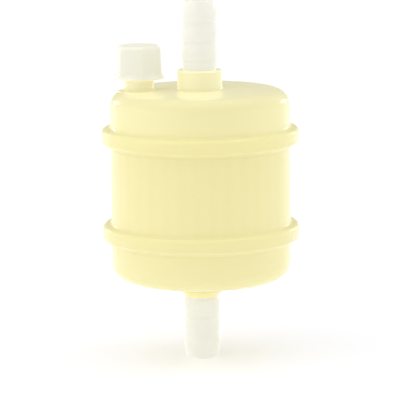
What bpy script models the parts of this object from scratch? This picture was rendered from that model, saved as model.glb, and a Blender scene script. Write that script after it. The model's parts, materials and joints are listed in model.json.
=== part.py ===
"""In-line capsule filter with two hose-barb fittings and a screw-capped vent.

The capsule is a translucent plastic housing of three shells, spin welded at two flanged
joints. It holds a pleated cartridge, and a barbed fitting is fixed in the collar of each
dome. The vent neck stands on the inlet dome and is closed by a hexagonal screw cap.

Frame: metres, +Z up along the capsule's axis. The origin is the centre of the outlet
fitting's tip, the inlet is at the top, and the vent is on the -X side.
"""

import math

import bmesh
import bpy
from mathutils import Vector

MM = 0.001
OBJECT_NAME = "in_line_capsule_filter"

# How finely round pieces are faceted, as sides per turn.
BODY_SIDES = 36
FITTING_SIDES = 24

# Clearance between touching pieces.
GAP = 0.3 * MM

# Housing shells.
BODY_RADIUS = 32.8 * MM
WALL = 2.6 * MM
BODY_BORE = BODY_RADIUS - WALL
SHOULDER_RADIUS = 5.8 * MM
OUTLET_FLAT_Z = 30.0 * MM
INLET_FLAT_Z = 99.3 * MM

# Welded flange joints, each half on one shell and half on the next.
FLANGE_RADIUS = 36.0 * MM
FLANGE_HALF_HEIGHT = 3.1 * MM
FLANGE_EDGE = 1.5 * MM
FLANGE_FILLET = 0.6 * MM
LOWER_JOINT_Z = 47.3 * MM
UPPER_JOINT_Z = 82.6 * MM
TONGUE_INNER_RADIUS = 33.1 * MM
TONGUE_OUTER_RADIUS = 34.3 * MM
TONGUE_HEIGHT = 0.9 * MM

# Collars that hold the fittings.
COLLAR_RADIUS = 8.2 * MM
COLLAR_EDGE = 0.5 * MM
COLLAR_FILLET = 1.0 * MM
OUTLET_COLLAR_Z = 25.3 * MM
OUTLET_MOUTH_Z = 22.9 * MM
OUTLET_MOUTH_RADIUS = 6.35 * MM
INLET_COLLAR_Z = 106.6 * MM
LIP_DEPTH = 2.0 * MM
SEAT_DEPTH = 9.9 * MM

# Hose-barb fittings, measured from the tip.
FITTING_REACH = OUTLET_COLLAR_Z
FITTING_BORE = 3.8 * MM
BORE_CHAMFER = 0.3 * MM
TIP_EDGE = 0.3 * MM
TIP_RADIUS = 5.4 * MM
LEAD_IN_RADIUS = 6.1 * MM
LEAD_IN_Z = 2.6 * MM
BARB_RADIUS = 6.6 * MM
NOTCH_RADIUS = 5.85 * MM
NECK_RADIUS = 5.75 * MM
FIRST_BARB = 7.2 * MM
BARB_PITCH = 7.0 * MM
BARB_COUNT = 3
BARB_LAND = 1.2 * MM
BARB_STEP = 0.5 * MM
NOTCH_LENGTH = 0.8 * MM
SHANK_RADIUS = 6.4 * MM
FOOT_RADIUS = 9.0 * MM
FOOT_THICKNESS = 1.5 * MM
SHANK_GROOVE_Z = 30.9 * MM
INLET_TIP_Z = INLET_COLLAR_Z + FITTING_REACH

# O-rings and the grooves they sit in.
RING_SECTION = 0.55 * MM
GROOVE_HALF_WIDTH = 0.9 * MM
GROOVE_DEPTH = 1.4 * MM

# Socket in the outlet dome, for the cartridge's spigot.
SOCKET_RADIUS = 13.0 * MM

# Pleated cartridge.
ELEMENT_BOTTOM_Z = 40.6 * MM
ELEMENT_TOP_Z = 86.7 * MM
END_CAP_RADIUS = 26.9 * MM
END_CAP_THICKNESS = 2.0 * MM
END_CAP_RIM = 2.5 * MM
END_CAP_RIM_WALL = 0.9 * MM
SPIGOT_RADIUS = 10.6 * MM
SPIGOT_LENGTH = 3.2 * MM
SPIGOT_BORE = 7.5 * MM
SPIGOT_GROOVE_Z = 38.95 * MM
EDGE = 0.4 * MM
CORE_RADIUS = 10.5 * MM
CORE_WALL = 1.5 * MM
CAGE_RADIUS = 25.7 * MM
CAGE_WALL = 1.2 * MM
PLEAT_COUNT = 18
PLEAT_INNER_RADIUS = 12.0 * MM
PLEAT_OUTER_RADIUS = 23.4 * MM
VALLEY_WIDTH = 1.9 * MM
CREST_WIDTH = 2.4 * MM
LAYER_THICKNESS = 0.3 * MM
SEAM_THICKNESS = 0.8 * MM
SEAM_INNER_RADIUS = 20.6 * MM
SEAM_OUTER_RADIUS = 24.0 * MM

# Vent neck and its cap.
VENT_X = -22.0 * MM
VENT_BORE = 2.6 * MM
NECK_WAIST_RADIUS = 4.75 * MM
NECK_WAIST_Z = 101.9 * MM
NECK_FILLET = 2.4 * MM
NECK_SINK = 0.15 * MM
SHOULDER_RIM_RADIUS = 5.5 * MM
SHOULDER_RIM_Z = 103.1 * MM
SPOUT_RADIUS = 4.2 * MM
SPOUT_TOP_Z = 111.9 * MM
CAP_BOTTOM_Z = 103.6 * MM
CAP_TOP_Z = 115.7 * MM
CAP_CORNER_RADIUS = 8.5 * MM
CAP_VERTEX_ANGLE = math.radians(-80.5)
CAP_CHAMFER = 1.3 * MM
CAP_FLARE_RADIUS = 9.1 * MM
CAP_FLARE_HEIGHT = 2.6 * MM
CAP_BORE = 5.3 * MM
CAP_CEILING_Z = 113.6 * MM
SEAL_RADIUS = 4.9 * MM
SEAL_THICKNESS = 1.1 * MM

# Screw thread of the vent, a round bead on the spout and another in the cap.
THREAD_PITCH = 3.0 * MM
SPOUT_BEAD_RADIUS = 0.65 * MM
SPOUT_BEAD_Z = 105.6 * MM
SPOUT_BEAD_TURNS = 1.6
CAP_BEAD_RADIUS = 0.7 * MM
CAP_BEAD_Z = SPOUT_BEAD_Z + THREAD_PITCH / 2
CAP_BEAD_TURNS = 1.2
BEAD_POINTS_PER_TURN = 16
BEAD_RUN_OUT = 3

FINISHES = {
    "housing_yellow": ((0.90, 0.85, 0.50), 0.28),
    "fitting_natural": ((0.86, 0.86, 0.78), 0.35),
    "cap_white": ((0.88, 0.86, 0.80), 0.35),
    "cartridge_plastic": ((0.84, 0.84, 0.80), 0.50),
    "support_fleece": ((0.88, 0.88, 0.85), 0.90),
    "membrane": ((0.92, 0.91, 0.84), 0.80),
    "seal_rubber": ((0.10, 0.10, 0.10), 0.60),
}


def clear_scene():
    """Remove whatever the file opened with."""
    for obj in list(bpy.data.objects):
        bpy.data.objects.remove(obj, do_unlink=True)


def new_collection(name):
    collection = bpy.data.collections.new(name)
    bpy.context.scene.collection.children.link(collection)
    return collection


def make_finishes():
    """A Principled material for each kind of plastic, fabric and rubber."""
    materials = {}
    for name, (colour, roughness) in FINISHES.items():
        material = bpy.data.materials.new(name)
        material.use_nodes = True
        shader = material.node_tree.nodes["Principled BSDF"]
        shader.inputs["Base Color"].default_value = (*colour, 1.0)
        shader.inputs["Roughness"].default_value = roughness
        shader.inputs["Metallic"].default_value = 0.0
        material.diffuse_color = (*colour, 1.0)
        materials[name] = material
    return materials


clear_scene()
PARTS = new_collection(OBJECT_NAME)
CUTTERS = new_collection("cutters")
MATERIALS = make_finishes()


# Helpers


def add_object(name, data, collection, material=None):
    obj = bpy.data.objects.new(name, data)
    collection.objects.link(obj)
    if material:
        obj.data.materials.append(MATERIALS[material])
    return obj


def freeze(obj):
    """Give the object the mesh that its modifiers make, shaded smooth except at its edges."""
    bpy.context.view_layer.update()
    graph = bpy.context.evaluated_depsgraph_get()
    mesh = bpy.data.meshes.new_from_object(obj.evaluated_get(graph))
    mesh.name = obj.name
    mesh.shade_smooth()
    mesh.set_sharp_from_angle(angle=math.radians(35))
    obj.modifiers.clear()
    obj.data = mesh
    return obj


def turned(name, outline, sides, collection, material=None):
    """Turn an outline of (radius, z) points about Z.

    The outline runs down its outer side. One that starts and ends on the axis makes a
    solid, and any other is closed into a ring.
    """
    on_axis = outline[0][0] == 0 and outline[-1][0] == 0
    points = [(radius, 0, z) for radius, z in outline]
    edges = [(i, i + 1) for i in range(len(points) - 1)]
    if not on_axis:
        edges.append((len(points) - 1, 0))
    mesh = bpy.data.meshes.new(name)
    mesh.from_pydata(points, edges, [])
    obj = add_object(name, mesh, collection, material)
    screw = obj.modifiers.new("turn", "SCREW")
    screw.axis = "Z"
    screw.angle = math.tau
    screw.steps = sides
    screw.render_steps = sides
    screw.use_merge_vertices = True
    screw.merge_threshold = 0.00001
    return freeze(obj)


def combine(obj, operation, *others):
    """Boolean each of the others with the object, and put them out of the render."""
    for other in others:
        modifier = obj.modifiers.new(operation.lower(), "BOOLEAN")
        modifier.operation = operation
        modifier.solver = "EXACT"
        modifier.object = other
        other.hide_render = True
        other.display_type = "WIRE"
    return freeze(obj)


def arc(centre, radius, start, end, steps):
    """Points of an arc in the (radius, z) plane, with its angles in degrees from outwards."""
    angles = [math.radians(start + (end - start) * i / steps) for i in range(steps + 1)]
    return [(centre[0] + radius * math.cos(a), centre[1] + radius * math.sin(a)) for a in angles]


def mirrored(outline, z):
    """The outline reflected in the plane at z / 2, still running down its outer side."""
    return [(radius, z - height) for radius, height in reversed(outline)]


def raised(outline, z):
    """The outline moved up by z."""
    return [(radius, height + z) for radius, height in outline]


def move_to(obj, collection):
    """Link a new primitive to one collection only."""
    for user in list(obj.users_collection):
        user.objects.unlink(obj)
    collection.objects.link(obj)


def rod(name, radius, height, centre, sides, collection=None):
    """An upright prism or cylinder."""
    bpy.ops.mesh.primitive_cylinder_add(
        vertices=sides, radius=radius, depth=height, location=centre
    )
    obj = bpy.context.active_object
    move_to(obj, collection or CUTTERS)
    obj.name = name
    obj.data.name = name
    return obj


def helix_bead(name, radius, start_z, turns, bead_radius):
    """A round bead wound right-handed about Z, fading out at each end."""
    count = round(turns * BEAD_POINTS_PER_TURN) + 1
    curve = bpy.data.curves.new(name, "CURVE")
    curve.dimensions = "3D"
    curve.bevel_depth = bead_radius
    curve.bevel_resolution = 1
    curve.use_fill_caps = True
    spline = curve.splines.new("POLY")
    spline.points.add(count - 1)
    for i, point in enumerate(spline.points):
        turn = i / BEAD_POINTS_PER_TURN
        angle = math.tau * turn
        z = start_z + turn * THREAD_PITCH
        point.co = (radius * math.cos(angle), radius * math.sin(angle), z, 1)
        point.radius = min(1.0, 0.45 + 0.55 * min(i, count - 1 - i) / BEAD_RUN_OUT)
    return mesh_of_curve(add_object(name + "_curve", curve, CUTTERS), name, CUTTERS)


def mesh_of_curve(curve_object, name, collection, material=None):
    """Replace a curve object by a welded mesh of the same shape."""
    bpy.context.view_layer.update()
    graph = bpy.context.evaluated_depsgraph_get()
    mesh = bpy.data.meshes.new_from_object(curve_object.evaluated_get(graph))
    work = bmesh.new()
    work.from_mesh(mesh)
    bmesh.ops.remove_doubles(work, verts=work.verts, dist=0.000001)
    bmesh.ops.recalc_face_normals(work, faces=work.faces)
    work.to_mesh(mesh)
    work.free()
    mesh.materials.clear()
    obj = add_object(name, mesh, collection, material)
    obj.matrix_world = curve_object.matrix_world
    bpy.data.objects.remove(curve_object, do_unlink=True)
    return obj


def box(name, size, centre, turn, collection, material=None):
    """A box whose X axis is turned about Z."""
    bpy.ops.mesh.primitive_cube_add(size=1)
    obj = bpy.context.active_object
    move_to(obj, collection)
    obj.name = name
    obj.data.name = name
    obj.scale = size
    bpy.ops.object.transform_apply(location=False, rotation=False, scale=True)
    obj.location = centre
    obj.rotation_euler = (0, 0, turn)
    if material:
        obj.data.materials.append(MATERIALS[material])
    return obj


# Housing shells


def flange_half():
    """Outer side of the flange half above a joint at z = 0, running down from the wall."""
    edge = (FLANGE_RADIUS - FLANGE_EDGE, FLANGE_HALF_HEIGHT - FLANGE_EDGE)
    return [
        (BODY_RADIUS, FLANGE_HALF_HEIGHT + FLANGE_FILLET),
        (BODY_RADIUS + FLANGE_FILLET, FLANGE_HALF_HEIGHT),
        *arc(edge, FLANGE_EDGE, 90, 0, 3),
        (FLANGE_RADIUS, GAP / 2),
    ]


def weld_tongue():
    """Tongue that hangs from the face above a joint, from its outer side inwards."""
    top = GAP / 2
    return [
        (TONGUE_OUTER_RADIUS, top),
        (TONGUE_OUTER_RADIUS, top - TONGUE_HEIGHT),
        (TONGUE_INNER_RADIUS, top - TONGUE_HEIGHT),
        (TONGUE_INNER_RADIUS, top),
    ]


def weld_groove():
    """Groove in the face above a joint, which a tongue from below stands in."""
    bottom = GAP / 2
    return [
        (TONGUE_OUTER_RADIUS + GAP, bottom),
        (TONGUE_OUTER_RADIUS + GAP, bottom + TONGUE_HEIGHT),
        (TONGUE_INNER_RADIUS - GAP, bottom + TONGUE_HEIGHT),
        (TONGUE_INNER_RADIUS - GAP, bottom),
    ]


def square_mouth(collar):
    """Outer side of a collar's mouth that ends in a flat face for the hose."""
    return [
        (NECK_RADIUS + GAP, collar),
        (COLLAR_RADIUS - COLLAR_EDGE, collar),
        (COLLAR_RADIUS, collar - COLLAR_EDGE),
    ]


def hollowed_mouth(mouth):
    """Outer side of a collar's mouth that draws in to the fitting's neck in a hollow curve."""
    reach = COLLAR_RADIUS - OUTLET_MOUTH_RADIUS
    curve = (COLLAR_RADIUS, mouth)
    return [
        (NECK_RADIUS + GAP, mouth),
        *arc(curve, reach, 180, 270, 3),
    ]


def dome_outside(flat, mouth):
    """Outer side of a dome with its collar upwards, from the collar's mouth to its wall."""
    fillet = (COLLAR_RADIUS + COLLAR_FILLET, flat + COLLAR_FILLET)
    shoulder = (BODY_RADIUS - SHOULDER_RADIUS, flat - SHOULDER_RADIUS)
    return [
        *mouth,
        *arc(fillet, COLLAR_FILLET, 180, 270, 2),
        *arc(shoulder, SHOULDER_RADIUS, 90, 0, 6),
    ]


def dome_inside(flat):
    """Inner side of a dome's wall, from its joint up to its flat."""
    radius = SHOULDER_RADIUS - WALL
    centre = (BODY_BORE - radius, flat - SHOULDER_RADIUS)
    return [(BODY_BORE, GAP / 2), *arc(centre, radius, 0, 90, 4)]


def collar_inside(collar):
    """Bore of a collar, from the fitting's seat up to the lip that stops its shank."""
    bore = SHANK_RADIUS + GAP
    return [
        (bore, collar - SEAT_DEPTH),
        (bore, collar - LIP_DEPTH),
        (NECK_RADIUS + GAP, collar - LIP_DEPTH),
    ]


def dome_outline(flat, collar, mouth, socket=()):
    """A dome above its joint at z = 0, with an optional socket standing inside it."""
    return [
        *dome_outside(flat, mouth),
        *flange_half(),
        *weld_groove(),
        *dome_inside(flat),
        *socket,
        *collar_inside(collar),
    ]


def make_outlet_dome():
    """Lower shell, whose socket takes the cartridge's spigot."""
    flat = LOWER_JOINT_Z - OUTLET_FLAT_Z
    collar = LOWER_JOINT_Z - OUTLET_COLLAR_Z
    mouth = LOWER_JOINT_Z - ELEMENT_BOTTOM_Z + GAP
    bore = SPIGOT_RADIUS + GAP
    socket = [
        (SOCKET_RADIUS, flat - WALL),
        (SOCKET_RADIUS, mouth),
        (bore, mouth),
        (bore, collar - SEAT_DEPTH),
    ]
    outer_mouth = hollowed_mouth(LOWER_JOINT_Z - OUTLET_MOUTH_Z)
    outline = mirrored(dome_outline(flat, collar, outer_mouth, socket), LOWER_JOINT_Z)
    return turned("outlet_dome", outline, BODY_SIDES, PARTS, "housing_yellow")


def make_barrel():
    """Middle shell, with half a flange and a weld tongue at each end."""
    outline = [
        (BODY_BORE, UPPER_JOINT_Z - GAP / 2),
        *raised(mirrored(weld_tongue(), 0), UPPER_JOINT_Z),
        *raised(mirrored(flange_half(), 0), UPPER_JOINT_Z),
        *raised(flange_half(), LOWER_JOINT_Z),
        *raised(weld_tongue(), LOWER_JOINT_Z),
        (BODY_BORE, LOWER_JOINT_Z + GAP / 2),
    ]
    return turned("barrel", outline, BODY_SIDES, PARTS, "housing_yellow")


def vent_neck_outline():
    """Spout, the shoulder under the cap, and the neck that flares into the dome's flat."""
    fillet = (NECK_WAIST_RADIUS + NECK_FILLET, INLET_FLAT_Z + NECK_FILLET - NECK_SINK)
    return [
        (0, SPOUT_TOP_Z),
        (SPOUT_RADIUS - EDGE, SPOUT_TOP_Z),
        (SPOUT_RADIUS, SPOUT_TOP_Z - EDGE),
        (SPOUT_RADIUS, SHOULDER_RIM_Z),
        (SHOULDER_RIM_RADIUS, SHOULDER_RIM_Z),
        (SHOULDER_RIM_RADIUS, SHOULDER_RIM_Z - EDGE),
        (NECK_WAIST_RADIUS, NECK_WAIST_Z),
        *arc(fillet, NECK_FILLET, 180, 270, 3),
        (fillet[0], INLET_FLAT_Z - WALL * 0.8),
        (0, INLET_FLAT_Z - WALL * 0.8),
    ]


def make_inlet_dome():
    """Upper shell, with the vent's threaded neck moulded on its flat."""
    flat = INLET_FLAT_Z - UPPER_JOINT_Z
    collar = INLET_COLLAR_Z - UPPER_JOINT_Z
    outline = raised(dome_outline(flat, collar, square_mouth(collar)), UPPER_JOINT_Z)
    dome = turned("inlet_dome", outline, BODY_SIDES, PARTS, "housing_yellow")
    neck = turned("vent_neck", vent_neck_outline(), FITTING_SIDES, CUTTERS)
    bead = helix_bead(
        "spout_bead", SPOUT_RADIUS, SPOUT_BEAD_Z, SPOUT_BEAD_TURNS, SPOUT_BEAD_RADIUS
    )
    length = SPOUT_TOP_Z - ELEMENT_TOP_Z
    bore = rod("vent_bore", VENT_BORE, length, (0, 0, SPOUT_TOP_Z - length / 3), FITTING_SIDES)
    for piece in (neck, bead, bore):
        piece.location.x = VENT_X
    combine(dome, "UNION", neck, bead)
    return combine(dome, "DIFFERENCE", bore)


# Hose-barb fittings


def barb_outside():
    """Barbed outer side of a fitting, from its tip to the end of its neck."""
    points = [(TIP_RADIUS - TIP_EDGE, 0), (TIP_RADIUS, TIP_EDGE), (LEAD_IN_RADIUS, LEAD_IN_Z)]
    for i in range(BARB_COUNT):
        crest = FIRST_BARB + BARB_PITCH * i
        points += [
            (BARB_RADIUS, crest - BARB_LAND),
            (BARB_RADIUS, crest),
            (NOTCH_RADIUS, crest + BARB_STEP),
            (NOTCH_RADIUS, crest + BARB_STEP + NOTCH_LENGTH),
        ]
    return points


def fitting_outline():
    """A fitting with its tip at z = 0 and its foot inside the housing."""
    seat = OUTLET_COLLAR_Z + SEAT_DEPTH + GAP
    shoulder = OUTLET_COLLAR_Z + LIP_DEPTH + GAP
    foot_top = seat + FOOT_THICKNESS
    outside = [
        *barb_outside(),
        (NECK_RADIUS, shoulder),
        (SHANK_RADIUS, shoulder),
        *ring_groove(SHANK_RADIUS, SHANK_GROOVE_Z),
        (SHANK_RADIUS, seat),
        (FOOT_RADIUS, seat),
        (FOOT_RADIUS, foot_top),
    ]
    bore = [
        (FITTING_BORE + BORE_CHAMFER, 0),
        (FITTING_BORE, BORE_CHAMFER),
        (FITTING_BORE, foot_top),
    ]
    return [*reversed(outside), *bore]


def ring_groove(radius, z):
    """Steps of a groove for an O-ring in a shaft, from its lower side up."""
    bottom, top = z - GROOVE_HALF_WIDTH, z + GROOVE_HALF_WIDTH
    return [
        (radius, bottom),
        (radius - GROOVE_DEPTH, bottom),
        (radius - GROOVE_DEPTH, top),
        (radius, top),
    ]


def make_fittings():
    """The outlet fitting, and the same fitting turned over for the inlet."""
    outlet = turned(
        "outlet_barb_fitting", fitting_outline(), FITTING_SIDES, PARTS, "fitting_natural"
    )
    inlet = add_object("inlet_barb_fitting", outlet.data.copy(), PARTS)
    inlet.rotation_euler = (math.pi, 0, 0)
    inlet.location.z = INLET_TIP_Z
    return outlet, inlet


def make_o_ring(name, shaft_radius, z):
    """An O-ring in the groove of a shaft."""
    bpy.ops.mesh.primitive_torus_add(
        major_radius=shaft_radius - RING_SECTION,
        minor_radius=RING_SECTION,
        major_segments=FITTING_SIDES,
        minor_segments=8,
        location=(0, 0, z),
    )
    ring = bpy.context.active_object
    move_to(ring, PARTS)
    ring.name = name
    ring.data.name = name
    ring.data.materials.append(MATERIALS["seal_rubber"])
    ring.data.shade_smooth()
    return ring


# Filter cartridge


def make_end_caps():
    """The closed upper end cap, and the lower one with the spigot that seals in the socket."""
    rim_bore = END_CAP_RADIUS - END_CAP_RIM_WALL
    top = ELEMENT_TOP_Z
    upper = [
        (0, top),
        (END_CAP_RADIUS - EDGE, top),
        (END_CAP_RADIUS, top - EDGE),
        (END_CAP_RADIUS, top - END_CAP_THICKNESS - END_CAP_RIM),
        (rim_bore, top - END_CAP_THICKNESS - END_CAP_RIM),
        (rim_bore, top - END_CAP_THICKNESS),
        (0, top - END_CAP_THICKNESS),
    ]
    bottom = ELEMENT_BOTTOM_Z
    spigot_end = bottom - SPIGOT_LENGTH
    lower = [
        (rim_bore, bottom + END_CAP_THICKNESS + END_CAP_RIM),
        (END_CAP_RADIUS, bottom + END_CAP_THICKNESS + END_CAP_RIM),
        (END_CAP_RADIUS, bottom + EDGE),
        (END_CAP_RADIUS - EDGE, bottom),
        (SPIGOT_RADIUS, bottom),
        *reversed(ring_groove(SPIGOT_RADIUS, SPIGOT_GROOVE_Z)),
        (SPIGOT_RADIUS, spigot_end),
        (SPIGOT_BORE, spigot_end),
        (SPIGOT_BORE, bottom + END_CAP_THICKNESS),
        (rim_bore, bottom + END_CAP_THICKNESS),
    ]
    turned("cartridge_top_cap", upper, BODY_SIDES, PARTS, "cartridge_plastic")
    turned("cartridge_bottom_cap", lower, BODY_SIDES, PARTS, "cartridge_plastic")


def pack_span():
    """Lowest and highest z between the end caps' inner faces."""
    low = ELEMENT_BOTTOM_Z + END_CAP_THICKNESS + GAP
    return low, ELEMENT_TOP_Z - END_CAP_THICKNESS - GAP


def make_slotted_tube(name, radius, wall, columns, slot_width, rows, rib):
    """A tube with rows of slots, each cut by bars that pass through both sides."""
    low, high = pack_span()
    outline = [(radius, high), (radius, low), (radius - wall, low), (radius - wall, high)]
    tube = turned(name, outline, BODY_SIDES, PARTS, "cartridge_plastic")
    row_pitch = (high - low - rib) / rows
    bars = []
    for row in range(rows):
        z = low + rib + row_pitch * row + (row_pitch - rib) / 2
        for column in range(columns // 2):
            turn = math.tau * (column + 0.5) / columns
            size = (radius * 2.2, slot_width, row_pitch - rib)
            bars.append(box(f"{name}_bar_{row}_{column}", size, (0, 0, z), turn, CUTTERS))
    return combine(tube, "DIFFERENCE", *bars)


def pleat_path():
    """Middle line of the pleat pack, with two corners on each crest and in each valley."""
    points = []
    half_pitch = math.pi / PLEAT_COUNT
    for i in range(PLEAT_COUNT * 2):
        crest = i % 2 == 0
        radius = PLEAT_OUTER_RADIUS if crest else PLEAT_INNER_RADIUS
        half_width = (CREST_WIDTH if crest else VALLEY_WIDTH) / 2
        for side in (-1, 1):
            angle = i * half_pitch + side * half_width / radius
            points.append(Vector((radius * math.cos(angle), radius * math.sin(angle))))
    return points


def offset_path(points, distance):
    """The closed path moved outwards by a distance, with mitred corners."""
    moved = []
    for before, point, after in zip(points[-1:] + points[:-1], points, points[1:] + points[:1]):
        first = (point - before).normalized()
        second = (after - point).normalized()
        first_normal = Vector((first.y, -first.x))
        second_normal = Vector((second.y, -second.x))
        mitre = (first_normal + second_normal).normalized()
        moved.append(point + mitre * distance / mitre.dot(first_normal))
    return moved


def make_pleated_layer(name, middle, material):
    """One layer of the pleat pack, at a distance outwards from the middle line."""
    low, high = pack_span()
    curve = bpy.data.curves.new(name, "CURVE")
    curve.dimensions = "2D"
    curve.fill_mode = "BOTH"
    curve.extrude = (high - low) / 2
    for side in (middle + LAYER_THICKNESS / 2, middle - LAYER_THICKNESS / 2):
        outline = offset_path(pleat_path(), side)
        spline = curve.splines.new("POLY")
        spline.points.add(len(outline) - 1)
        for point, corner in zip(spline.points, outline):
            point.co = (corner.x, corner.y, 0, 1)
        spline.use_cyclic_u = True
    flat = add_object(name + "_outline", curve, PARTS)
    flat.location.z = (low + high) / 2
    return mesh_of_curve(flat, name, PARTS, material)


def make_pleat_pack():
    """Membrane between two support layers, and the strip along the pack's side seam."""
    step = LAYER_THICKNESS + GAP
    make_pleated_layer("upstream_support", step, "support_fleece")
    make_pleated_layer("filter_membrane", 0, "membrane")
    make_pleated_layer("downstream_support", -step, "support_fleece")
    low, high = pack_span()
    reach = SEAM_OUTER_RADIUS - SEAM_INNER_RADIUS
    angle = math.pi / PLEAT_COUNT
    middle = SEAM_INNER_RADIUS + reach / 2
    centre = (middle * math.cos(angle), middle * math.sin(angle), (low + high) / 2)
    size = (reach, SEAM_THICKNESS, high - low)
    box("pleat_seam_strip", size, centre, angle, PARTS, "cartridge_plastic")


# Vent cap


def make_vent_cap():
    """Hexagonal screw cap with a round flare, hollow for the spout, and its seal."""
    height = CAP_TOP_Z - CAP_BOTTOM_Z
    middle = (0, 0, CAP_BOTTOM_Z + height / 2)
    cap = rod("vent_cap", CAP_CORNER_RADIUS, height + 2 * EDGE, middle, 6, PARTS)
    cap.rotation_euler.z = CAP_VERTEX_ANGLE - math.pi / 6
    cap.data.materials.append(MATERIALS["cap_white"])
    chamfer_drop = CAP_CHAMFER * 0.6
    envelope = [
        (0, CAP_TOP_Z),
        (CAP_CORNER_RADIUS - CAP_CHAMFER, CAP_TOP_Z),
        (CAP_CORNER_RADIUS + EDGE, CAP_TOP_Z - chamfer_drop * (1 + EDGE / CAP_CHAMFER)),
        (CAP_CORNER_RADIUS + EDGE, CAP_BOTTOM_Z + CAP_FLARE_HEIGHT / 2),
        (0, CAP_BOTTOM_Z + CAP_FLARE_HEIGHT / 2),
    ]
    flare = [
        (0, CAP_BOTTOM_Z + CAP_FLARE_HEIGHT),
        (CAP_CORNER_RADIUS - EDGE, CAP_BOTTOM_Z + CAP_FLARE_HEIGHT),
        (CAP_FLARE_RADIUS, CAP_BOTTOM_Z + CAP_FLARE_HEIGHT - 2 * EDGE),
        (CAP_FLARE_RADIUS, CAP_BOTTOM_Z + EDGE),
        (CAP_FLARE_RADIUS - EDGE, CAP_BOTTOM_Z),
        (0, CAP_BOTTOM_Z),
    ]
    cavity = [
        (0, CAP_CEILING_Z),
        (CAP_BORE, CAP_CEILING_Z),
        (CAP_BORE, CAP_BOTTOM_Z + EDGE),
        (CAP_BORE + 2 * EDGE, CAP_BOTTOM_Z - EDGE),
        (0, CAP_BOTTOM_Z - EDGE),
    ]
    combine(cap, "INTERSECT", turned("cap_envelope", envelope, FITTING_SIDES, CUTTERS))
    combine(cap, "UNION", turned("cap_flare", flare, FITTING_SIDES, CUTTERS))
    combine(cap, "DIFFERENCE", turned("cap_cavity", cavity, FITTING_SIDES, CUTTERS))
    bead = helix_bead("cap_bead", CAP_BORE, CAP_BEAD_Z, CAP_BEAD_TURNS, CAP_BEAD_RADIUS)
    combine(cap, "UNION", bead)
    seal_top = CAP_CEILING_Z - GAP
    seal_outline = [
        (0, seal_top),
        (SEAL_RADIUS, seal_top),
        (SEAL_RADIUS, seal_top - SEAL_THICKNESS),
        (0, seal_top - SEAL_THICKNESS),
    ]
    seal = turned("vent_seal", seal_outline, FITTING_SIDES, PARTS, "seal_rubber")
    for piece in (cap, seal):
        piece.location.x = VENT_X
    return cap, seal


def main():
    make_outlet_dome()
    make_barrel()
    make_inlet_dome()
    make_fittings()
    make_o_ring("outlet_fitting_o_ring", SHANK_RADIUS, SHANK_GROOVE_Z)
    make_o_ring("inlet_fitting_o_ring", SHANK_RADIUS, INLET_TIP_Z - SHANK_GROOVE_Z)
    make_o_ring("spigot_o_ring", SPIGOT_RADIUS, SPIGOT_GROOVE_Z)
    make_end_caps()
    make_slotted_tube("cartridge_core", CORE_RADIUS, CORE_WALL, 6, 5.0 * MM, 3, 3.0 * MM)
    make_slotted_tube("cartridge_cage", CAGE_RADIUS, CAGE_WALL, 12, 8.0 * MM, 3, 3.5 * MM)
    make_pleat_pack()
    make_vent_cap()


main()
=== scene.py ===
"""Looks for the in-line capsule filter: fine shells, fittings, cap and cartridge round the CAD frame.

The pieces are grouped by sub-assembly. Housing makes the three shells, VentNeck the neck and
spout on the upper one, Fittings the two hose barbs, VentCap the screw cap and its seal, and
Cartridge the pleat pack with its tubes and end caps. Studio makes the floor, the light and
the camera.
"""

import json
import logging
import math
from dataclasses import dataclass, field
from enum import Enum
from typing import Iterable, Sequence

import bmesh
import bpy
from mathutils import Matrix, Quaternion, Vector


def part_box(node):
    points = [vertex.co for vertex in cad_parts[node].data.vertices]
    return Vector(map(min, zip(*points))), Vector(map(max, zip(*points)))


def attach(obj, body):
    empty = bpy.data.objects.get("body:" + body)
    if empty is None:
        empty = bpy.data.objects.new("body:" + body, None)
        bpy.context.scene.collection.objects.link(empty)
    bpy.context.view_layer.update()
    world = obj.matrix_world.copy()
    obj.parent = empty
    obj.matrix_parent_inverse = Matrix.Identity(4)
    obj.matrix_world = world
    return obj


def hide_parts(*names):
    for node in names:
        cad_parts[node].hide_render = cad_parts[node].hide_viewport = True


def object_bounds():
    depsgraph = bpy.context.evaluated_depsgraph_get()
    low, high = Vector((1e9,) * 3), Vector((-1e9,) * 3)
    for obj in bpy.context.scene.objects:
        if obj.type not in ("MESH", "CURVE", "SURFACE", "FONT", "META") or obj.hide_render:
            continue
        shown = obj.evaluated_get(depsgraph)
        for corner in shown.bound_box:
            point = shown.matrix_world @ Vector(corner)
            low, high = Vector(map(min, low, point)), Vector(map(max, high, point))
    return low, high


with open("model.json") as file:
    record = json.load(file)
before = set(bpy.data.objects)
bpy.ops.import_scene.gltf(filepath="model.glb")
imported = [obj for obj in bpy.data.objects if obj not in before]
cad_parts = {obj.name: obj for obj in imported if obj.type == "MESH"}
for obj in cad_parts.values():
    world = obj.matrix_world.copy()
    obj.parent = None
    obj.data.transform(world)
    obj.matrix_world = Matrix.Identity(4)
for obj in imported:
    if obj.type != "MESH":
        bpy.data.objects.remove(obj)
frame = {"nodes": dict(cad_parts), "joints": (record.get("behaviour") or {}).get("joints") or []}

CAD_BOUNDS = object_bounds()
LOG = logging.getLogger("capsule_filter")

MM = 0.001
GAP = 0.3 * MM
BODY_SIDES = 144
FITTING_SIDES = 72
FILLET_STEPS = 6
CREASE_ANGLE = math.radians(40)
STRAIGHT_ANGLE = 0.02
LATHE_MERGE = 0.002 * MM
BAKE_MERGE = 0.001 * MM
SLIVER = 0.0005 * MM
FINE_EDGE = 0.1 * MM
SMALL_EDGE = 0.2 * MM
SOFT_EDGE = 0.3 * MM
SPIGOT_LENGTH = 3.2 * MM
O_RING_ROUND = 0.99
FINISH_SUFFIX = "_finish"

Outline = list[tuple[float, float]]
RGB = tuple[float, float, float]


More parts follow.
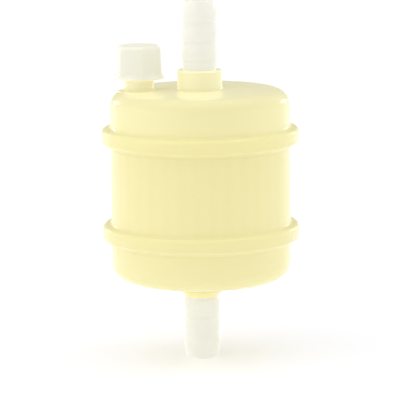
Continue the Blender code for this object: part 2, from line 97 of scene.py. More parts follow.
class Body(Enum):
    """The CAD bodies that pieces ride on."""

    HOUSING = "housing"
    CAP = "vent_cap"
    CARRIER = "cap_carrier"


class End(Enum):
    """Which end of the capsule a piece belongs to."""

    INLET = "inlet"
    OUTLET = "outlet"


# Geometry helpers


@dataclass(frozen=True)
class Corner:
    """A corner of an outline in the (radius, z) plane, rounded where fillet is above zero."""

    radius: float
    z: float
    fillet: float = 0.0

    def flipped(self, plane: float) -> "Corner":
        """The corner reflected in a horizontal plane."""
        return Corner(self.radius, 2 * plane - self.z, self.fillet)


def flipped(corners: Sequence[Corner], plane: float) -> list[Corner]:
    """Reflect corners in a horizontal plane and keep their direction round the outline.

    Args:
        corners: Corners in order down the outer side.
        plane: Height of the plane.

    Returns:
        The reflected corners, again in order down the outer side.
    """
    return [corner.flipped(plane) for corner in reversed(corners)]


def fillet_points(before: Vector, corner: Vector, after: Vector, radius: float) -> list[Vector]:
    """Round one corner of an outline with an arc.

    Args:
        before: The point before the corner.
        corner: The corner itself.
        after: The point after the corner.
        radius: Radius of the arc.

    Returns:
        Points along the arc, or the corner alone where it is straight.
    """
    first = (before - corner).normalized()
    second = (after - corner).normalized()
    half = first.angle(second) / 2
    if radius <= 0 or math.pi / 2 - half < STRAIGHT_ANGLE:
        return [corner]
    reach = radius / math.tan(half)
    centre = corner + (first + second).normalized() * radius / math.sin(half)
    start = corner + first * reach - centre
    turn = math.pi - 2 * half
    side = 1 if first.cross(second) < 0 else -1
    points = []
    for i in range(FILLET_STEPS + 1):
        angle = side * turn * i / FILLET_STEPS
        cos, sin = math.cos(angle), math.sin(angle)
        points.append(centre + Vector((start.x * cos - start.y * sin, start.x * sin + start.y * cos)))
    return points


def rounded_outline(corners: Sequence[Corner]) -> Outline:
    """Turn corners into a closed outline with its fillets drawn as arcs.

    Args:
        corners: Corners in order down the outer side and up the inner side.

    Returns:
        The outline as (radius, z) pairs.
    """
    points = [Vector((corner.radius, corner.z)) for corner in corners]
    outline: Outline = []
    for i, corner in enumerate(corners):
        before, after = points[i - 1], points[(i + 1) % len(points)]
        for point in fillet_points(before, points[i], after, corner.fillet):
            outline.append((point.x, point.y))
    return outline


def new_piece(name: str, mesh: bpy.types.Mesh) -> bpy.types.Object:
    """Put a mesh in the scene as a smooth-shaded piece at the origin.

    Args:
        name: Name of the piece.
        mesh: Its mesh, with its place in its points.

    Returns:
        The new object.
    """
    mesh.name = name
    mesh.shade_smooth()
    mesh.set_sharp_from_angle(angle=CREASE_ANGLE)
    piece = bpy.data.objects.new(name, mesh)
    bpy.context.scene.collection.objects.link(piece)
    return piece


def lathe(name: str, corners: Sequence[Corner], sides: int, x: float = 0.0) -> bpy.types.Object:
    """Turn an outline about the vertical axis through x.

    Args:
        name: Name of the piece.
        corners: Corners of the outline. Points on the axis make a pole.
        sides: Facets in a full turn.
        x: Where the axis stands along X.

    Returns:
        A closed piece with its faces outwards.
    """
    work = bmesh.new()
    verts = [work.verts.new((radius, 0, z)) for radius, z in rounded_outline(corners)]
    edges = [
        work.edges.new((a, b))
        for a, b in zip(verts, verts[1:] + verts[:1])
        if max(a.co.x, b.co.x) > 0
    ]
    bmesh.ops.spin(
        work,
        geom=verts + edges,
        cent=(0, 0, 0),
        axis=(0, 0, 1),
        angle=math.tau,
        steps=sides,
        use_duplicate=False,
    )
    bmesh.ops.remove_doubles(work, verts=work.verts, dist=LATHE_MERGE)
    bmesh.ops.translate(work, verts=work.verts, vec=(x, 0, 0))
    bmesh.ops.recalc_face_normals(work, faces=work.faces)
    mesh = bpy.data.meshes.new(name)
    work.to_mesh(mesh)
    work.free()
    return new_piece(name, mesh)


def baked(piece: bpy.types.Object) -> bpy.types.Object:
    """Replace a piece's mesh by what its modifiers make, and remove them.

    Args:
        piece: The piece with live modifiers.

    Returns:
        The same piece.
    """
    bpy.context.view_layer.update()
    graph = bpy.context.evaluated_depsgraph_get()
    mesh = bpy.data.meshes.new_from_object(piece.evaluated_get(graph))
    piece.modifiers.clear()
    old, piece.data = piece.data, mesh
    if old.users == 0:
        bpy.data.meshes.remove(old)
    work = bmesh.new()
    work.from_mesh(mesh)
    bmesh.ops.remove_doubles(work, verts=work.verts, dist=BAKE_MERGE)
    bmesh.ops.dissolve_degenerate(work, dist=SLIVER, edges=work.edges)
    bmesh.ops.recalc_face_normals(work, faces=work.faces)
    work.to_mesh(mesh)
    work.free()
    mesh.name = piece.name
    mesh.shade_smooth()
    mesh.set_sharp_from_angle(angle=CREASE_ANGLE)
    return piece


def boolean(piece: bpy.types.Object, operation: str, *tools: bpy.types.Object) -> bpy.types.Object:
    """Join tools to a piece or cut them from it, and remove the tools.

    Args:
        piece: The piece that is kept.
        operation: UNION, DIFFERENCE or INTERSECT.
        tools: Closed pieces to combine with it.

    Returns:
        The same piece.
    """
    for tool in tools:
        modifier = piece.modifiers.new("combine", "BOOLEAN")
        modifier.operation = operation
        modifier.solver = "EXACT"
        modifier.object = tool
    baked(piece)
    for tool in tools:
        bpy.data.meshes.remove(tool.data)
    return piece


# Node trees


class TreeBuilder:
    """Adds nodes and links to a node tree, with sockets named in the call."""

    def __init__(self, tree: bpy.types.NodeTree) -> None:
        """Start on a tree.

        Args:
            tree: The shader or geometry tree to build.
        """
        self.tree = tree

    def add(self, kind: str, settings: dict | None = None, **inputs: object) -> bpy.types.Node:
        """Add a node, set its properties, and set or link its inputs.

        Args:
            kind: The node's type name.
            settings: Property values by name.
            inputs: Values or output sockets by input name, with spaces as underscores,
                or by index as i0, i1 and so on.

        Returns:
            The new node.
        """
        node = self.tree.nodes.new(kind)
        for key, value in (settings or {}).items():
            setattr(node, key, value)
        for key, value in inputs.items():
            index = int(key[1:]) if key[0] == "i" and key[1:].isdigit() else None
            socket = node.inputs[index if index is not None else key.replace("_", " ")]
            if isinstance(value, bpy.types.NodeSocket):
                self.tree.links.new(value, socket)
            else:
                socket.default_value = value
        return node

    def math(self, operation: str, first: object, second: object = 0.0) -> bpy.types.NodeSocket:
        """Add a Math node and return its output.

        Args:
            operation: The Math operation.
            first: First value or socket.
            second: Second value or socket.

        Returns:
            The result socket.
        """
        return self.add("ShaderNodeMath", {"operation": operation}, i0=first, i1=second).outputs[0]

    def blend(self, part: object, first: object, second: object) -> bpy.types.NodeSocket:
        """Add a colour Mix node and return its output.

        Args:
            part: Share of the second colour.
            first: First colour or socket.
            second: Second colour or socket.

        Returns:
            The mixed colour's socket.
        """
        node = self.add("ShaderNodeMix", {"data_type": "RGBA"}, i0=part, i6=first, i7=second)
        return node.outputs[2]

    def choose(self, part: object, first: object, second: object) -> bpy.types.NodeSocket:
        """Add a value Mix node and return its output.

        Args:
            part: Share of the second value.
            first: First value or socket.
            second: Second value or socket.

        Returns:
            The mixed value's socket.
        """
        node = self.add("ShaderNodeMix", {"data_type": "FLOAT"}, i0=part, i2=first, i3=second)
        return node.outputs[0]


def geometry_tree(name: str, inputs: Iterable[tuple[str, str]]) -> TreeBuilder:
    """Start a geometry node tree with named inputs and a geometry output.

    Args:
        name: Name of the tree.
        inputs: Pairs of input name and socket type.

    Returns:
        A builder whose tree holds its group input and output nodes.
    """
    tree = bpy.data.node_groups.new(name, "GeometryNodeTree")
    for label, kind in inputs:
        tree.interface.new_socket(label, in_out="INPUT", socket_type=kind)
    tree.interface.new_socket("Geometry", in_out="OUTPUT", socket_type="NodeSocketGeometry")
    tree.nodes.new("NodeGroupInput").name = "Sizes"
    tree.nodes.new("NodeGroupOutput").name = "Result"
    return TreeBuilder(tree)


def finish_tree(build: TreeBuilder, geometry: bpy.types.NodeSocket) -> bpy.types.NodeTree:
    """End a geometry tree in Realize Instances and Set Material.

    Args:
        build: The tree's builder.
        geometry: The geometry to give out.

    Returns:
        The finished tree.
    """
    sizes = build.tree.nodes["Sizes"].outputs
    real = build.add("GeometryNodeRealizeInstances", i0=geometry)
    dressed = build.add("GeometryNodeSetMaterial", Geometry=real.outputs[0], Material=sizes["Material"])
    build.tree.links.new(dressed.outputs[0], build.tree.nodes["Result"].inputs[0])
    return build.tree


def from_tree(
    name: str, tree: bpy.types.NodeTree, material: bpy.types.Material, sizes: dict[str, object]
) -> bpy.types.Object:
    """Run a geometry tree once and keep its result as a plain piece.

    Args:
        name: Name of the piece.
        tree: The geometry tree.
        material: The finish that Set Material gives.
        sizes: Values for the tree's other inputs by name.

    Returns:
        The piece, with no modifier left on it.
    """
    piece = bpy.data.objects.new(name, bpy.data.meshes.new(name))
    bpy.context.scene.collection.objects.link(piece)
    modifier = piece.modifiers.new("build", "NODES")
    modifier.node_group = tree
    for item in tree.interface.items_tree:
        if item.in_out != "INPUT":
            continue
        modifier[item.identifier] = material if item.name == "Material" else sizes[item.name]
    return baked(piece)


# Finishes


def shader_group(
    name: str, inputs: Iterable[tuple[str, str, object]], outputs: Iterable[tuple[str, str]]
) -> TreeBuilder:
    """Start a shader node group.

    Args:
        name: Name of the group.
        inputs: Input name, socket type and default value.
        outputs: Output name and socket type.

    Returns:
        A builder whose tree holds its group input and output nodes.
    """
    tree = bpy.data.node_groups.new(name, "ShaderNodeTree")
    for label, kind, value in inputs:
        socket = tree.interface.new_socket(label, in_out="INPUT", socket_type=kind)
        if value is not None:
            socket.default_value = value
    for label, kind in outputs:
        tree.interface.new_socket(label, in_out="OUTPUT", socket_type=kind)
    tree.nodes.new("NodeGroupInput").name = "Sizes"
    tree.nodes.new("NodeGroupOutput").name = "Result"
    return TreeBuilder(tree)


def start_material(
    name: str,
) -> tuple[bpy.types.Material, TreeBuilder, bpy.types.Node, bpy.types.NodeSocket]:
    """Start a material on the Principled BSDF that it comes with.

    Args:
        name: Name of the finish.

    Returns:
        The material, its tree's builder, its shader and the point's place on the object.
    """
    material = bpy.data.materials.new(name + FINISH_SUFFIX)
    material.use_nodes = True
    build = TreeBuilder(material.node_tree)
    shader = material.node_tree.nodes["Principled BSDF"]
    position = build.add("ShaderNodeTexCoord").outputs["Object"]
    return material, build, shader, position


def moulded_group() -> bpy.types.NodeTree:
    """Flow mottle, fine grain and faint handling marks of a moulded plastic.

    Returns:
        The group, which gives a colour, a roughness and a height.
    """
    build = shader_group(
        "moulded_plastic",
        [
            ("Position", "NodeSocketVector", None),
            ("Colour", "NodeSocketColor", (0.8, 0.8, 0.8, 1)),
            ("Flow Colour", "NodeSocketColor", (0.7, 0.7, 0.7, 1)),
            ("Flow Scale", "NodeSocketFloat", 60.0),
            ("Flow Amount", "NodeSocketFloat", 0.3),
            ("Grain Scale", "NodeSocketFloat", 1500.0),
            ("Roughness", "NodeSocketFloat", 0.3),
            ("Roughness Spread", "NodeSocketFloat", 0.1),
        ],
        [("Colour", "NodeSocketColor"), ("Roughness", "NodeSocketFloat"), ("Height", "NodeSocketFloat")],
    )
    sizes = build.tree.nodes["Sizes"].outputs
    stretched = build.add(
        "ShaderNodeMapping", {"vector_type": "POINT"}, Vector=sizes["Position"], Scale=(1.0, 1.0, 0.45)
    )
    flow = build.add(
        "ShaderNodeTexNoise",
        Vector=stretched.outputs[0],
        Scale=sizes["Flow Scale"],
        Detail=3.0,
        Roughness=0.45,
        Distortion=0.6,
    )
    grain = build.add(
        "ShaderNodeTexNoise", Vector=sizes["Position"], Scale=sizes["Grain Scale"], Detail=2.0
    )
    scuffs = build.add(
        "ShaderNodeTexNoise", Vector=sizes["Position"], Scale=260.0, Detail=4.0, Roughness=0.65
    )
    amount = build.math("MULTIPLY", flow.outputs[0], sizes["Flow Amount"])
    mixed = build.blend(amount, sizes["Colour"], sizes["Flow Colour"])
    centred = build.math("SUBTRACT", scuffs.outputs[0], 0.5)
    spread = build.math("MULTIPLY", centred, sizes["Roughness Spread"])
    result = build.tree.nodes["Result"].inputs
    build.tree.links.new(mixed, result["Colour"])
    build.tree.links.new(build.math("ADD", sizes["Roughness"], spread), result["Roughness"])
    height = build.math("ADD", grain.outputs[0], build.math("MULTIPLY", scuffs.outputs[0], 0.6))
    build.tree.links.new(height, result["Height"])
    return build.tree


@dataclass(frozen=True)
class PlasticFinish:
    """A moulded plastic, from milky and translucent to opaque.

    Each height stop is a height, the wall's colour there, darkened by painted shade at some heights and
    lightened by painted light at others, and how far the pleats behind it shade it with painted streaks.
    """

    name: str
    colour: RGB
    flow_colour: RGB
    roughness: float
    scatter: float = 1.0
    scatter_radius: RGB = (1.0, 1.0, 1.0)
    scatter_scale: float = 3.0 * MM
    grain_depth: float = 0.01 * MM
    grain_strength: float = 0.15
    # Painted glow: the plastic gives off its own colour as light, though it is no lamp. This stands in for
    # light through the translucent wall and flattens its shading.
    glow: float = 0.0
    flow_scale: float = 45.0
    flow_amount: float = 0.5
    shine: float = 0.3
    # Wall colour by height, with painted shade and painted light worked in.
    colour_and_painted_shade: tuple[tuple[float, RGB, float], ...] = ()
    # Painted shade: streaks round the axis from the cartridge's pleats behind the wall.
    pleats: int = 36
    pleat_shade: float = 0.006

    def painted_shade_colour(self, build: TreeBuilder, position: bpy.types.NodeSocket) -> bpy.types.NodeSocket | tuple:
        """The plain colour, or the wall's colour set by height with painted shade and painted light in it,
        streaked with painted pleat shade.

        Args:
            build: The material's tree.
            position: Where the point is on the object.

        Returns:
            A colour socket or a plain colour.
        """
        if not self.colour_and_painted_shade:
            return (*self.colour, 1)
        low, high = CAD_BOUNDS[0].z, CAD_BOUNDS[1].z
        across, deep, height = build.add("ShaderNodeSeparateXYZ", Vector=position).outputs
        part = build.math("DIVIDE", build.math("SUBTRACT", height, low), high - low)
        # Painted shade and painted light by height: the ramp darkens the wall over the flange rings and the
        # shoulder and lightens it at the neck.
        ramp = build.add("ShaderNodeValToRGB", Fac=part)
        stops = ramp.color_ramp.elements
        while len(stops) < len(self.colour_and_painted_shade):
            stops.new(1.0)
        for stop, (z, colour, pleat_shade_share) in zip(stops, self.colour_and_painted_shade):
            stop.position = (z - low) / (high - low)
            stop.color = (*colour, pleat_shade_share)
        # Painted pleat shade: dark and light streaks round the axis where the cartridge stands behind the
        # wall.
        turn = build.math("MULTIPLY", build.math("ARCTAN2", deep, across), float(self.pleats))
        pleat_shade_wave = build.math("MULTIPLY", build.math("SINE", turn), ramp.outputs["Alpha"])
        shade = build.math("ADD", build.math("MULTIPLY", pleat_shade_wave, self.pleat_shade), 1.0)
        shaded = build.add(
            "ShaderNodeVectorMath", {"operation": "SCALE"}, i0=ramp.outputs["Color"], Scale=shade
        )
        return shaded.outputs["Vector"]

    def material(self, group: bpy.types.NodeTree) -> bpy.types.Material:
        """Build the material.

        Args:
            group: The shared moulded-plastic group.

        Returns:
            The new material.
        """
        material, build, shader, position = start_material(self.name)
        material.diffuse_color = (*self.colour, 1)
        surface = build.add(
            "ShaderNodeGroup",
            {"node_tree": group},
            Position=position,
            Colour=self.painted_shade_colour(build, position),
            Flow_Colour=(*self.flow_colour, 1),
            Flow_Scale=self.flow_scale,
            Flow_Amount=self.flow_amount,
            Roughness=self.roughness,
        )
        bump = build.add(
            "ShaderNodeBump",
            Strength=self.grain_strength,
            Distance=self.grain_depth,
            Height=surface.outputs["Height"],
        )
        material.node_tree.links.new(surface.outputs["Colour"], shader.inputs["Base Color"])
        material.node_tree.links.new(surface.outputs["Roughness"], shader.inputs["Roughness"])
        material.node_tree.links.new(bump.outputs[0], shader.inputs["Normal"])
        shader.subsurface_method = "RANDOM_WALK"
        shader.inputs["Subsurface Weight"].default_value = self.scatter
        shader.inputs["Subsurface Radius"].default_value = self.scatter_radius
        shader.inputs["Subsurface Scale"].default_value = self.scatter_scale
        # Painted glow: the surface colour, painted shade included, is given off as light.
        material.node_tree.links.new(surface.outputs["Colour"], shader.inputs["Emission Color"])
        shader.inputs["Emission Strength"].default_value = self.glow
        shader.inputs["IOR"].default_value = 1.5
        shader.inputs["Specular IOR Level"].default_value = self.shine
        return material


@dataclass(frozen=True)
class FibreFinish:
    """A non-woven sheet of fine tangled fibres."""

    name: str
    colour: RGB
    shade: RGB
    fibre_scale: float
    depth: float

    def material(self) -> bpy.types.Material:
        """Build the material.

        Returns:
            The new material.
        """
        material, build, shader, position = start_material(self.name)
        fibres = build.add(
            "ShaderNodeTexNoise",
            Vector=position,
            Scale=self.fibre_scale,
            Detail=5.0,
            Roughness=0.7,
            Distortion=1.5,
        )
        tint = build.blend(fibres.outputs[0], (*self.colour, 1), (*self.shade, 1))
        bump = build.add("ShaderNodeBump", Strength=0.5, Distance=self.depth, Height=fibres.outputs[0])
        material.node_tree.links.new(tint, shader.inputs["Base Color"])
        material.node_tree.links.new(bump.outputs[0], shader.inputs["Normal"])
        shader.inputs["Roughness"].default_value = 0.9
        return material


@dataclass(frozen=True)
class RubberFinish:
    """Matt rubber with a dusting of release agent."""

    name: str
    colour: RGB
    bloom: RGB
    bloom_amount: float = 0.5

    def material(self) -> bpy.types.Material:
        """Build the material.

        Returns:
            The new material.
        """
        material, build, shader, position = start_material(self.name)
        dust = build.add("ShaderNodeTexNoise", Vector=position, Scale=700.0, Detail=4.0)
        dusted = build.math("MULTIPLY", dust.outputs[0], self.bloom_amount)
        tint = build.blend(dusted, (*self.colour, 1), (*self.bloom, 1))
        bump = build.add("ShaderNodeBump", Strength=0.3, Distance=0.02 * MM, Height=dust.outputs[0])
        material.node_tree.links.new(tint, shader.inputs["Base Color"])
        material.node_tree.links.new(bump.outputs[0], shader.inputs["Normal"])
        shader.inputs["Roughness"].default_value = 0.6
        return material


@dataclass
class Finishes:
    """Every finish of the capsule, each built once."""

    housing: bpy.types.Material = field(init=False)
    fitting: bpy.types.Material = field(init=False)
    cap: bpy.types.Material = field(init=False)
    cartridge: bpy.types.Material = field(init=False)
    fleece: bpy.types.Material = field(init=False)
    membrane: bpy.types.Material = field(init=False)
    rubber: bpy.types.Material = field(init=False)

    def __post_init__(self) -> None:
        """Build the materials."""
        # The housing, fittings and cap carry a painted glow: they give off their own colour as light.
        moulded = moulded_group()
        self.housing = PlasticFinish(
            name="housing_yellow",
            colour=(0.605, 0.56, 0.285),
            flow_colour=(0.59, 0.545, 0.275),
            roughness=0.25,
            scatter_radius=(1.0, 0.95, 0.7),
            scatter_scale=1.5 * MM,
            glow=0.5,
            shine=0.4,
            flow_amount=0.3,
            # Painted shade over both flange rings (44.5-50 mm and 80-85.5 mm) and the shoulder (96 mm),
            # painted light on the neck under the cap (101 mm), and painted pleat shade on the barrel where
            # the cartridge stands behind the wall.
            colour_and_painted_shade=(
                (30 * MM, (0.60, 0.555, 0.30), 0.0),
                (43.5 * MM, (0.60, 0.555, 0.295), 0.0),
                (44.5 * MM, (0.575, 0.532, 0.28), 0.0),
                (50 * MM, (0.575, 0.532, 0.28), 0.0),
                (51 * MM, (0.595, 0.548, 0.288), 1.0),
                (78 * MM, (0.59, 0.543, 0.278), 1.0),
                (80 * MM, (0.575, 0.532, 0.268), 0.0),
                (85.5 * MM, (0.58, 0.538, 0.275), 0.0),
                (87 * MM, (0.605, 0.565, 0.31), 0.0),
                (93 * MM, (0.60, 0.56, 0.31), 0.0),
                (96 * MM, (0.575, 0.54, 0.295), 0.0),
                (99 * MM, (0.59, 0.555, 0.33), 0.0),
                (101 * MM, (0.635, 0.605, 0.405), 0.0),
            ),
        ).material(moulded)
        self.fitting = PlasticFinish(
            name="fitting_natural",
            colour=(0.58, 0.575, 0.515),
            flow_colour=(0.565, 0.56, 0.50),
            roughness=0.30,
            scatter_radius=(1.0, 1.0, 0.85),
            scatter_scale=1.5 * MM,
            glow=0.55,
        ).material(moulded)
        self.cap = PlasticFinish(
            name="cap_white",
            colour=(0.59, 0.582, 0.497),
            flow_colour=(0.57, 0.548, 0.452),
            roughness=0.35,
            scatter_radius=(1.0, 0.95, 0.85),
            scatter_scale=1.5 * MM,
            glow=0.5,
            shine=0.15,
        ).material(moulded)
        self.cartridge = PlasticFinish(
            name="cartridge_plastic",
            colour=(0.74, 0.73, 0.66),
            flow_colour=(0.70, 0.69, 0.62),
            roughness=0.5,
            scatter=0.3,
            scatter_scale=1.0 * MM,
        ).material(moulded)
        self.fleece = FibreFinish(
            name="support_fleece",
            colour=(0.78, 0.77, 0.72),
            shade=(0.66, 0.65, 0.60),
            fibre_scale=2500.0,
            depth=0.05 * MM,
        ).material()
        self.membrane = FibreFinish(
            name="membrane",
            colour=(0.82, 0.79, 0.68),
            shade=(0.76, 0.73, 0.62),
            fibre_scale=6000.0,
            depth=0.01 * MM,
        ).material()
        self.rubber = RubberFinish(
            name="seal_rubber", colour=(0.03, 0.03, 0.03), bloom=(0.12, 0.12, 0.12)
        ).material()


# Sub-assemblies


def mount_piece(piece: bpy.types.Object, material: bpy.types.Material, body: Body, *nodes: str) -> None:
    """Dress a piece, ride it on its body and let it stand for its CAD nodes.

    Args:
        piece: The finished piece.
        material: Its finish.
        body: The body it moves with.
        nodes: CAD nodes that it replaces.
    """
    piece.data.materials.clear()
    piece.data.materials.append(material)
    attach(piece, body.value)
    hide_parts(*nodes)
    LOG.info("%s: %d faces, for %s", piece.name, len(piece.data.polygons), ", ".join(nodes))


def dress_node(node: str, material: bpy.types.Material) -> None:
    """Give a CAD node that is shown as it is a finished material.

    Args:
        node: Name of the node.
        material: Its finish.
    """
    obj = frame["nodes"][node]
    if not obj.material_slots:
        obj.data.materials.append(material)
    for slot in obj.material_slots:
        slot.material = material
    LOG.info("%s: CAD node dressed in %s", node, material.name)


@dataclass
class Thread:
    """The vent's screw thread, a round bead wound about the vent's axis."""

    pitch: float = 3.0 * MM
    steps_per_turn: int = 48
    section_sides: int = 12
    taper_part: float = 0.14
    end_size: float = 0.4
    tree: bpy.types.NodeTree = field(init=False)

    def __post_init__(self) -> None:
        """Build the geometry tree that winds a bead."""
        build = geometry_tree(
            "thread_bead",
            [
                ("Material", "NodeSocketMaterial"),
                ("Radius", "NodeSocketFloat"),
                ("Turns", "NodeSocketFloat"),
                ("Pitch", "NodeSocketFloat"),
                ("Steps", "NodeSocketInt"),
                ("Bead", "NodeSocketFloat"),
                ("Foot", "NodeSocketVector"),
            ],
        )
        sizes = build.tree.nodes["Sizes"].outputs
        spiral = build.add(
            "GeometryNodeCurveSpiral",
            Resolution=sizes["Steps"],
            Rotations=sizes["Turns"],
            Start_Radius=sizes["Radius"],
            End_Radius=sizes["Radius"],
            Height=build.math("MULTIPLY", sizes["Turns"], sizes["Pitch"]),
            Reverse=True,
        )
        placed = build.add(
            "GeometryNodeTransform", Geometry=spiral.outputs[0], Translation=sizes["Foot"]
        )
        along = build.add("GeometryNodeSplineParameter").outputs["Factor"]
        near_end = build.math("MINIMUM", along, build.math("SUBTRACT", 1.0, along))
        ramp = build.add(
            "ShaderNodeMapRange",
            {"interpolation_type": "SMOOTHSTEP"},
            Value=near_end,
            From_Max=self.taper_part,
            To_Min=self.end_size,
        )
        swelling = build.add(
            "GeometryNodeSetCurveRadius", Curve=placed.outputs[0], Radius=ramp.outputs[0]
        )
        ring = build.add(
            "GeometryNodeCurvePrimitiveCircle", Resolution=self.section_sides, Radius=sizes["Bead"]
        )
        bead = build.add(
            "GeometryNodeCurveToMesh",
            Curve=swelling.outputs[0],
            Profile_Curve=ring.outputs[0],
            Scale=ramp.outputs[0],
            Fill_Caps=True,
        )
        self.tree = finish_tree(build, bead.outputs[0])

    def bead(
        self, name: str, radius: float, bead: float, turns: float, foot: Vector, material: bpy.types.Material
    ) -> bpy.types.Object:
        """Wind one bead.

        Args:
            name: Name of the bead.
            radius: Radius that its middle line runs on.
            bead: Radius of the bead's section.
            turns: Number of turns.
            foot: Where its axis meets the height that it starts at.
            material: Its finish.

        Returns:
            The closed bead.
        """
        return from_tree(
            name,
            self.tree,
            material,
            {
                "Radius": radius,
                "Turns": turns,
                "Pitch": self.pitch,
                "Steps": self.steps_per_turn,
                "Bead": bead,
                "Foot": foot,
            },
        )


@dataclass
class Housing:
    """Three welded shells: the outlet dome, the barrel and the inlet dome with the vent's neck."""

    finish: bpy.types.Material
    thread: Thread
    body_radius: float = 32.8 * MM
    wall: float = 2.6 * MM
    shoulder_fillet: float = 5.8 * MM
    outlet_flat: float = 30.0 * MM
    inlet_flat: float = 99.3 * MM
    flange_half_height: float = 2.85 * MM
    flange_edge: float = 1.5 * MM
    flange_fillet: float = 1.65 * MM
    weld_seam: float = 0.01 * MM
    tongue_inner: float = 33.1 * MM
    tongue_outer: float = 34.3 * MM
    tongue_height: float = 0.9 * MM
    collar_radius: float = 8.2 * MM
    collar_edge: float = 0.5 * MM
    collar_fillet: float = 1.2 * MM
    collar_rise: float = 7.3 * MM
    outlet_collar_drop: float = 4.7 * MM
    seat_depth: float = 9.9 * MM
    lip_depth: float = 2.0 * MM
    lip_bore: float = 6.05 * MM
    shank_bore: float = 6.7 * MM
    mouth_radius: float = 6.35 * MM
    mouth_edge: float = 0.3 * MM
    socket_radius: float = 13.0 * MM
    socket_bore: float = 10.9 * MM
    socket_foot_fillet: float = 0.8 * MM
    socket_edge: float = 0.4 * MM

    def __post_init__(self) -> None:
        """Read the weld joints, the flange's size and the mouth's height from the frame."""
        self.lower_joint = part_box("outlet_dome")[1].z + GAP / 2
        self.upper_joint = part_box("inlet_dome")[0].z - GAP / 2
        self.flange_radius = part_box("barrel")[1].x
        self.outlet_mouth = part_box("outlet_dome")[0].z
        self.bore = self.body_radius - self.wall

    def flange_half(self, joint: float) -> list[Corner]:
        """Outer side of the flange half that stands on a joint.

        Args:
            joint: Height of the joint.

        Returns:
            Corners from the wall out and down to the joint.
        """
        top = joint + self.flange_half_height
        return [
            Corner(self.body_radius, top, self.flange_fillet),
            Corner(self.flange_radius, top, self.flange_edge),
            Corner(self.flange_radius, joint + self.weld_seam / 2),
        ]

    def tongue(self, joint: float, depth: float, slack: float) -> list[Corner]:
        """A step across the weld face, either the tongue or the groove that it stands in.

        Args:
            joint: Height of the face.
            depth: How far the step goes, up for a groove and down for a tongue.
            slack: How much wider than the tongue it is on each side.

        Returns:
            Corners from its outer side inwards.
        """
        face = joint + self.weld_seam / 2
        outer, inner = self.tongue_outer + slack, self.tongue_inner - slack
        return [
            Corner(outer, face),
            Corner(outer, face + depth),
            Corner(inner, face + depth),
            Corner(inner, face),
        ]

    def dome(self, joint: float, flat: float, collar: float, mouth: Sequence[Corner]) -> list[Corner]:
        """A dome with its collar upwards, without what stands inside it.

        Args:
            joint: Height of its weld joint.
            flat: Height of its flat.
            collar: Height of the collar's end face.
            mouth: Corners of the collar's outer end.

        Returns:
            Corners down the outer side and up the inner wall to the flat.
        """
        groove = self.tongue(joint, self.tongue_height + GAP / 2, GAP)
        return [
            Corner(self.lip_bore, collar),
            *mouth,
            Corner(self.collar_radius, flat, self.collar_fillet),
            Corner(self.body_radius, flat, self.shoulder_fillet),
            *self.flange_half(joint),
            *groove,
            Corner(self.bore, joint + self.weld_seam / 2),
            Corner(self.bore, flat - self.wall, self.shoulder_fillet - self.wall),
        ]

    def collar_inside(self, collar: float) -> list[Corner]:
        """Bore of a collar from the fitting's seat to the lip that stops its shank.

        Args:
            collar: Height that the seat and the lip are measured from.

        Returns:
            Corners up the inner side.
        """
        return [
            Corner(self.shank_bore, collar - self.seat_depth, SOFT_EDGE),
            Corner(self.shank_bore, collar - self.lip_depth),
            Corner(self.lip_bore, collar - self.lip_depth),
        ]

    def outlet_dome(self) -> bpy.types.Object:
        """Make the lower shell, with a socket inside for the cartridge's spigot.

        Returns:
            The shell.
        """
        joint = self.lower_joint
        flat = 2 * joint - self.outlet_flat
        collar = flat + self.outlet_collar_drop
        mouth = 2 * joint - self.outlet_mouth
        hollow = mouth - (self.collar_radius - self.mouth_radius)
        curve = self.collar_radius - self.mouth_radius - self.mouth_edge
        socket_mouth = 2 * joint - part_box("cartridge_bottom_cap")[0].z - (SPIGOT_LENGTH - GAP)
        corners = [
            *self.dome(
                joint,
                flat,
                mouth,
                [
                    Corner(self.mouth_radius, mouth, FINE_EDGE),
                    Corner(self.mouth_radius, hollow, curve),
                    Corner(self.collar_radius, hollow, self.mouth_edge),
                ],
            ),
            Corner(self.socket_radius, flat - self.wall, self.socket_foot_fillet),
            Corner(self.socket_radius, socket_mouth, self.socket_edge),
            Corner(self.socket_bore, socket_mouth, self.socket_edge),
            Corner(self.socket_bore, collar - self.seat_depth),
            *self.collar_inside(collar),
        ]
        return lathe("outlet_shell", flipped(corners, joint), BODY_SIDES)

    def barrel(self) -> bpy.types.Object:
        """Make the middle shell, with half a flange and a weld tongue at each end.

        Returns:
            The shell.
        """
        tongue = self.tongue_height - GAP / 2
        upper = [
            *self.flange_half(self.lower_joint),
            *self.tongue(self.lower_joint, -tongue, 0.0),
            Corner(self.bore, self.lower_joint + self.weld_seam / 2),
        ]
        lower = flipped(upper, (self.lower_joint + self.upper_joint) / 2)
        return lathe("barrel_shell", [*lower, *upper], BODY_SIDES)

    def inlet_dome(self, vent: "VentNeck") -> bpy.types.Object:
        """Make the upper shell with the vent's neck moulded on.

        Args:
            vent: The neck on its flat.

        Returns:
            The shell.
        """
        collar = self.inlet_flat + self.collar_rise
        corners = [
            *self.dome(
                self.upper_joint,
                self.inlet_flat,
                collar,
                [Corner(self.collar_radius, collar, self.collar_edge)],
            ),
            *self.collar_inside(collar),
        ]
        shell = lathe("inlet_shell", corners, BODY_SIDES)
        boolean(shell, "UNION", vent.neck(self.inlet_flat, self.wall))
        boolean(shell, "UNION", vent.bead(self.thread, self.finish))
        return boolean(shell, "DIFFERENCE", vent.bore_cutter(self.inlet_flat - self.wall))

    def build(self, vent: "VentNeck") -> None:
        """Build and dress the three shells.

        Args:
            vent: The neck on the inlet dome.
        """
        mount_piece(self.outlet_dome(), self.finish, Body.HOUSING, "outlet_dome")
        mount_piece(self.barrel(), self.finish, Body.HOUSING, "barrel")
        mount_piece(self.inlet_dome(vent), self.finish, Body.HOUSING, "inlet_dome")


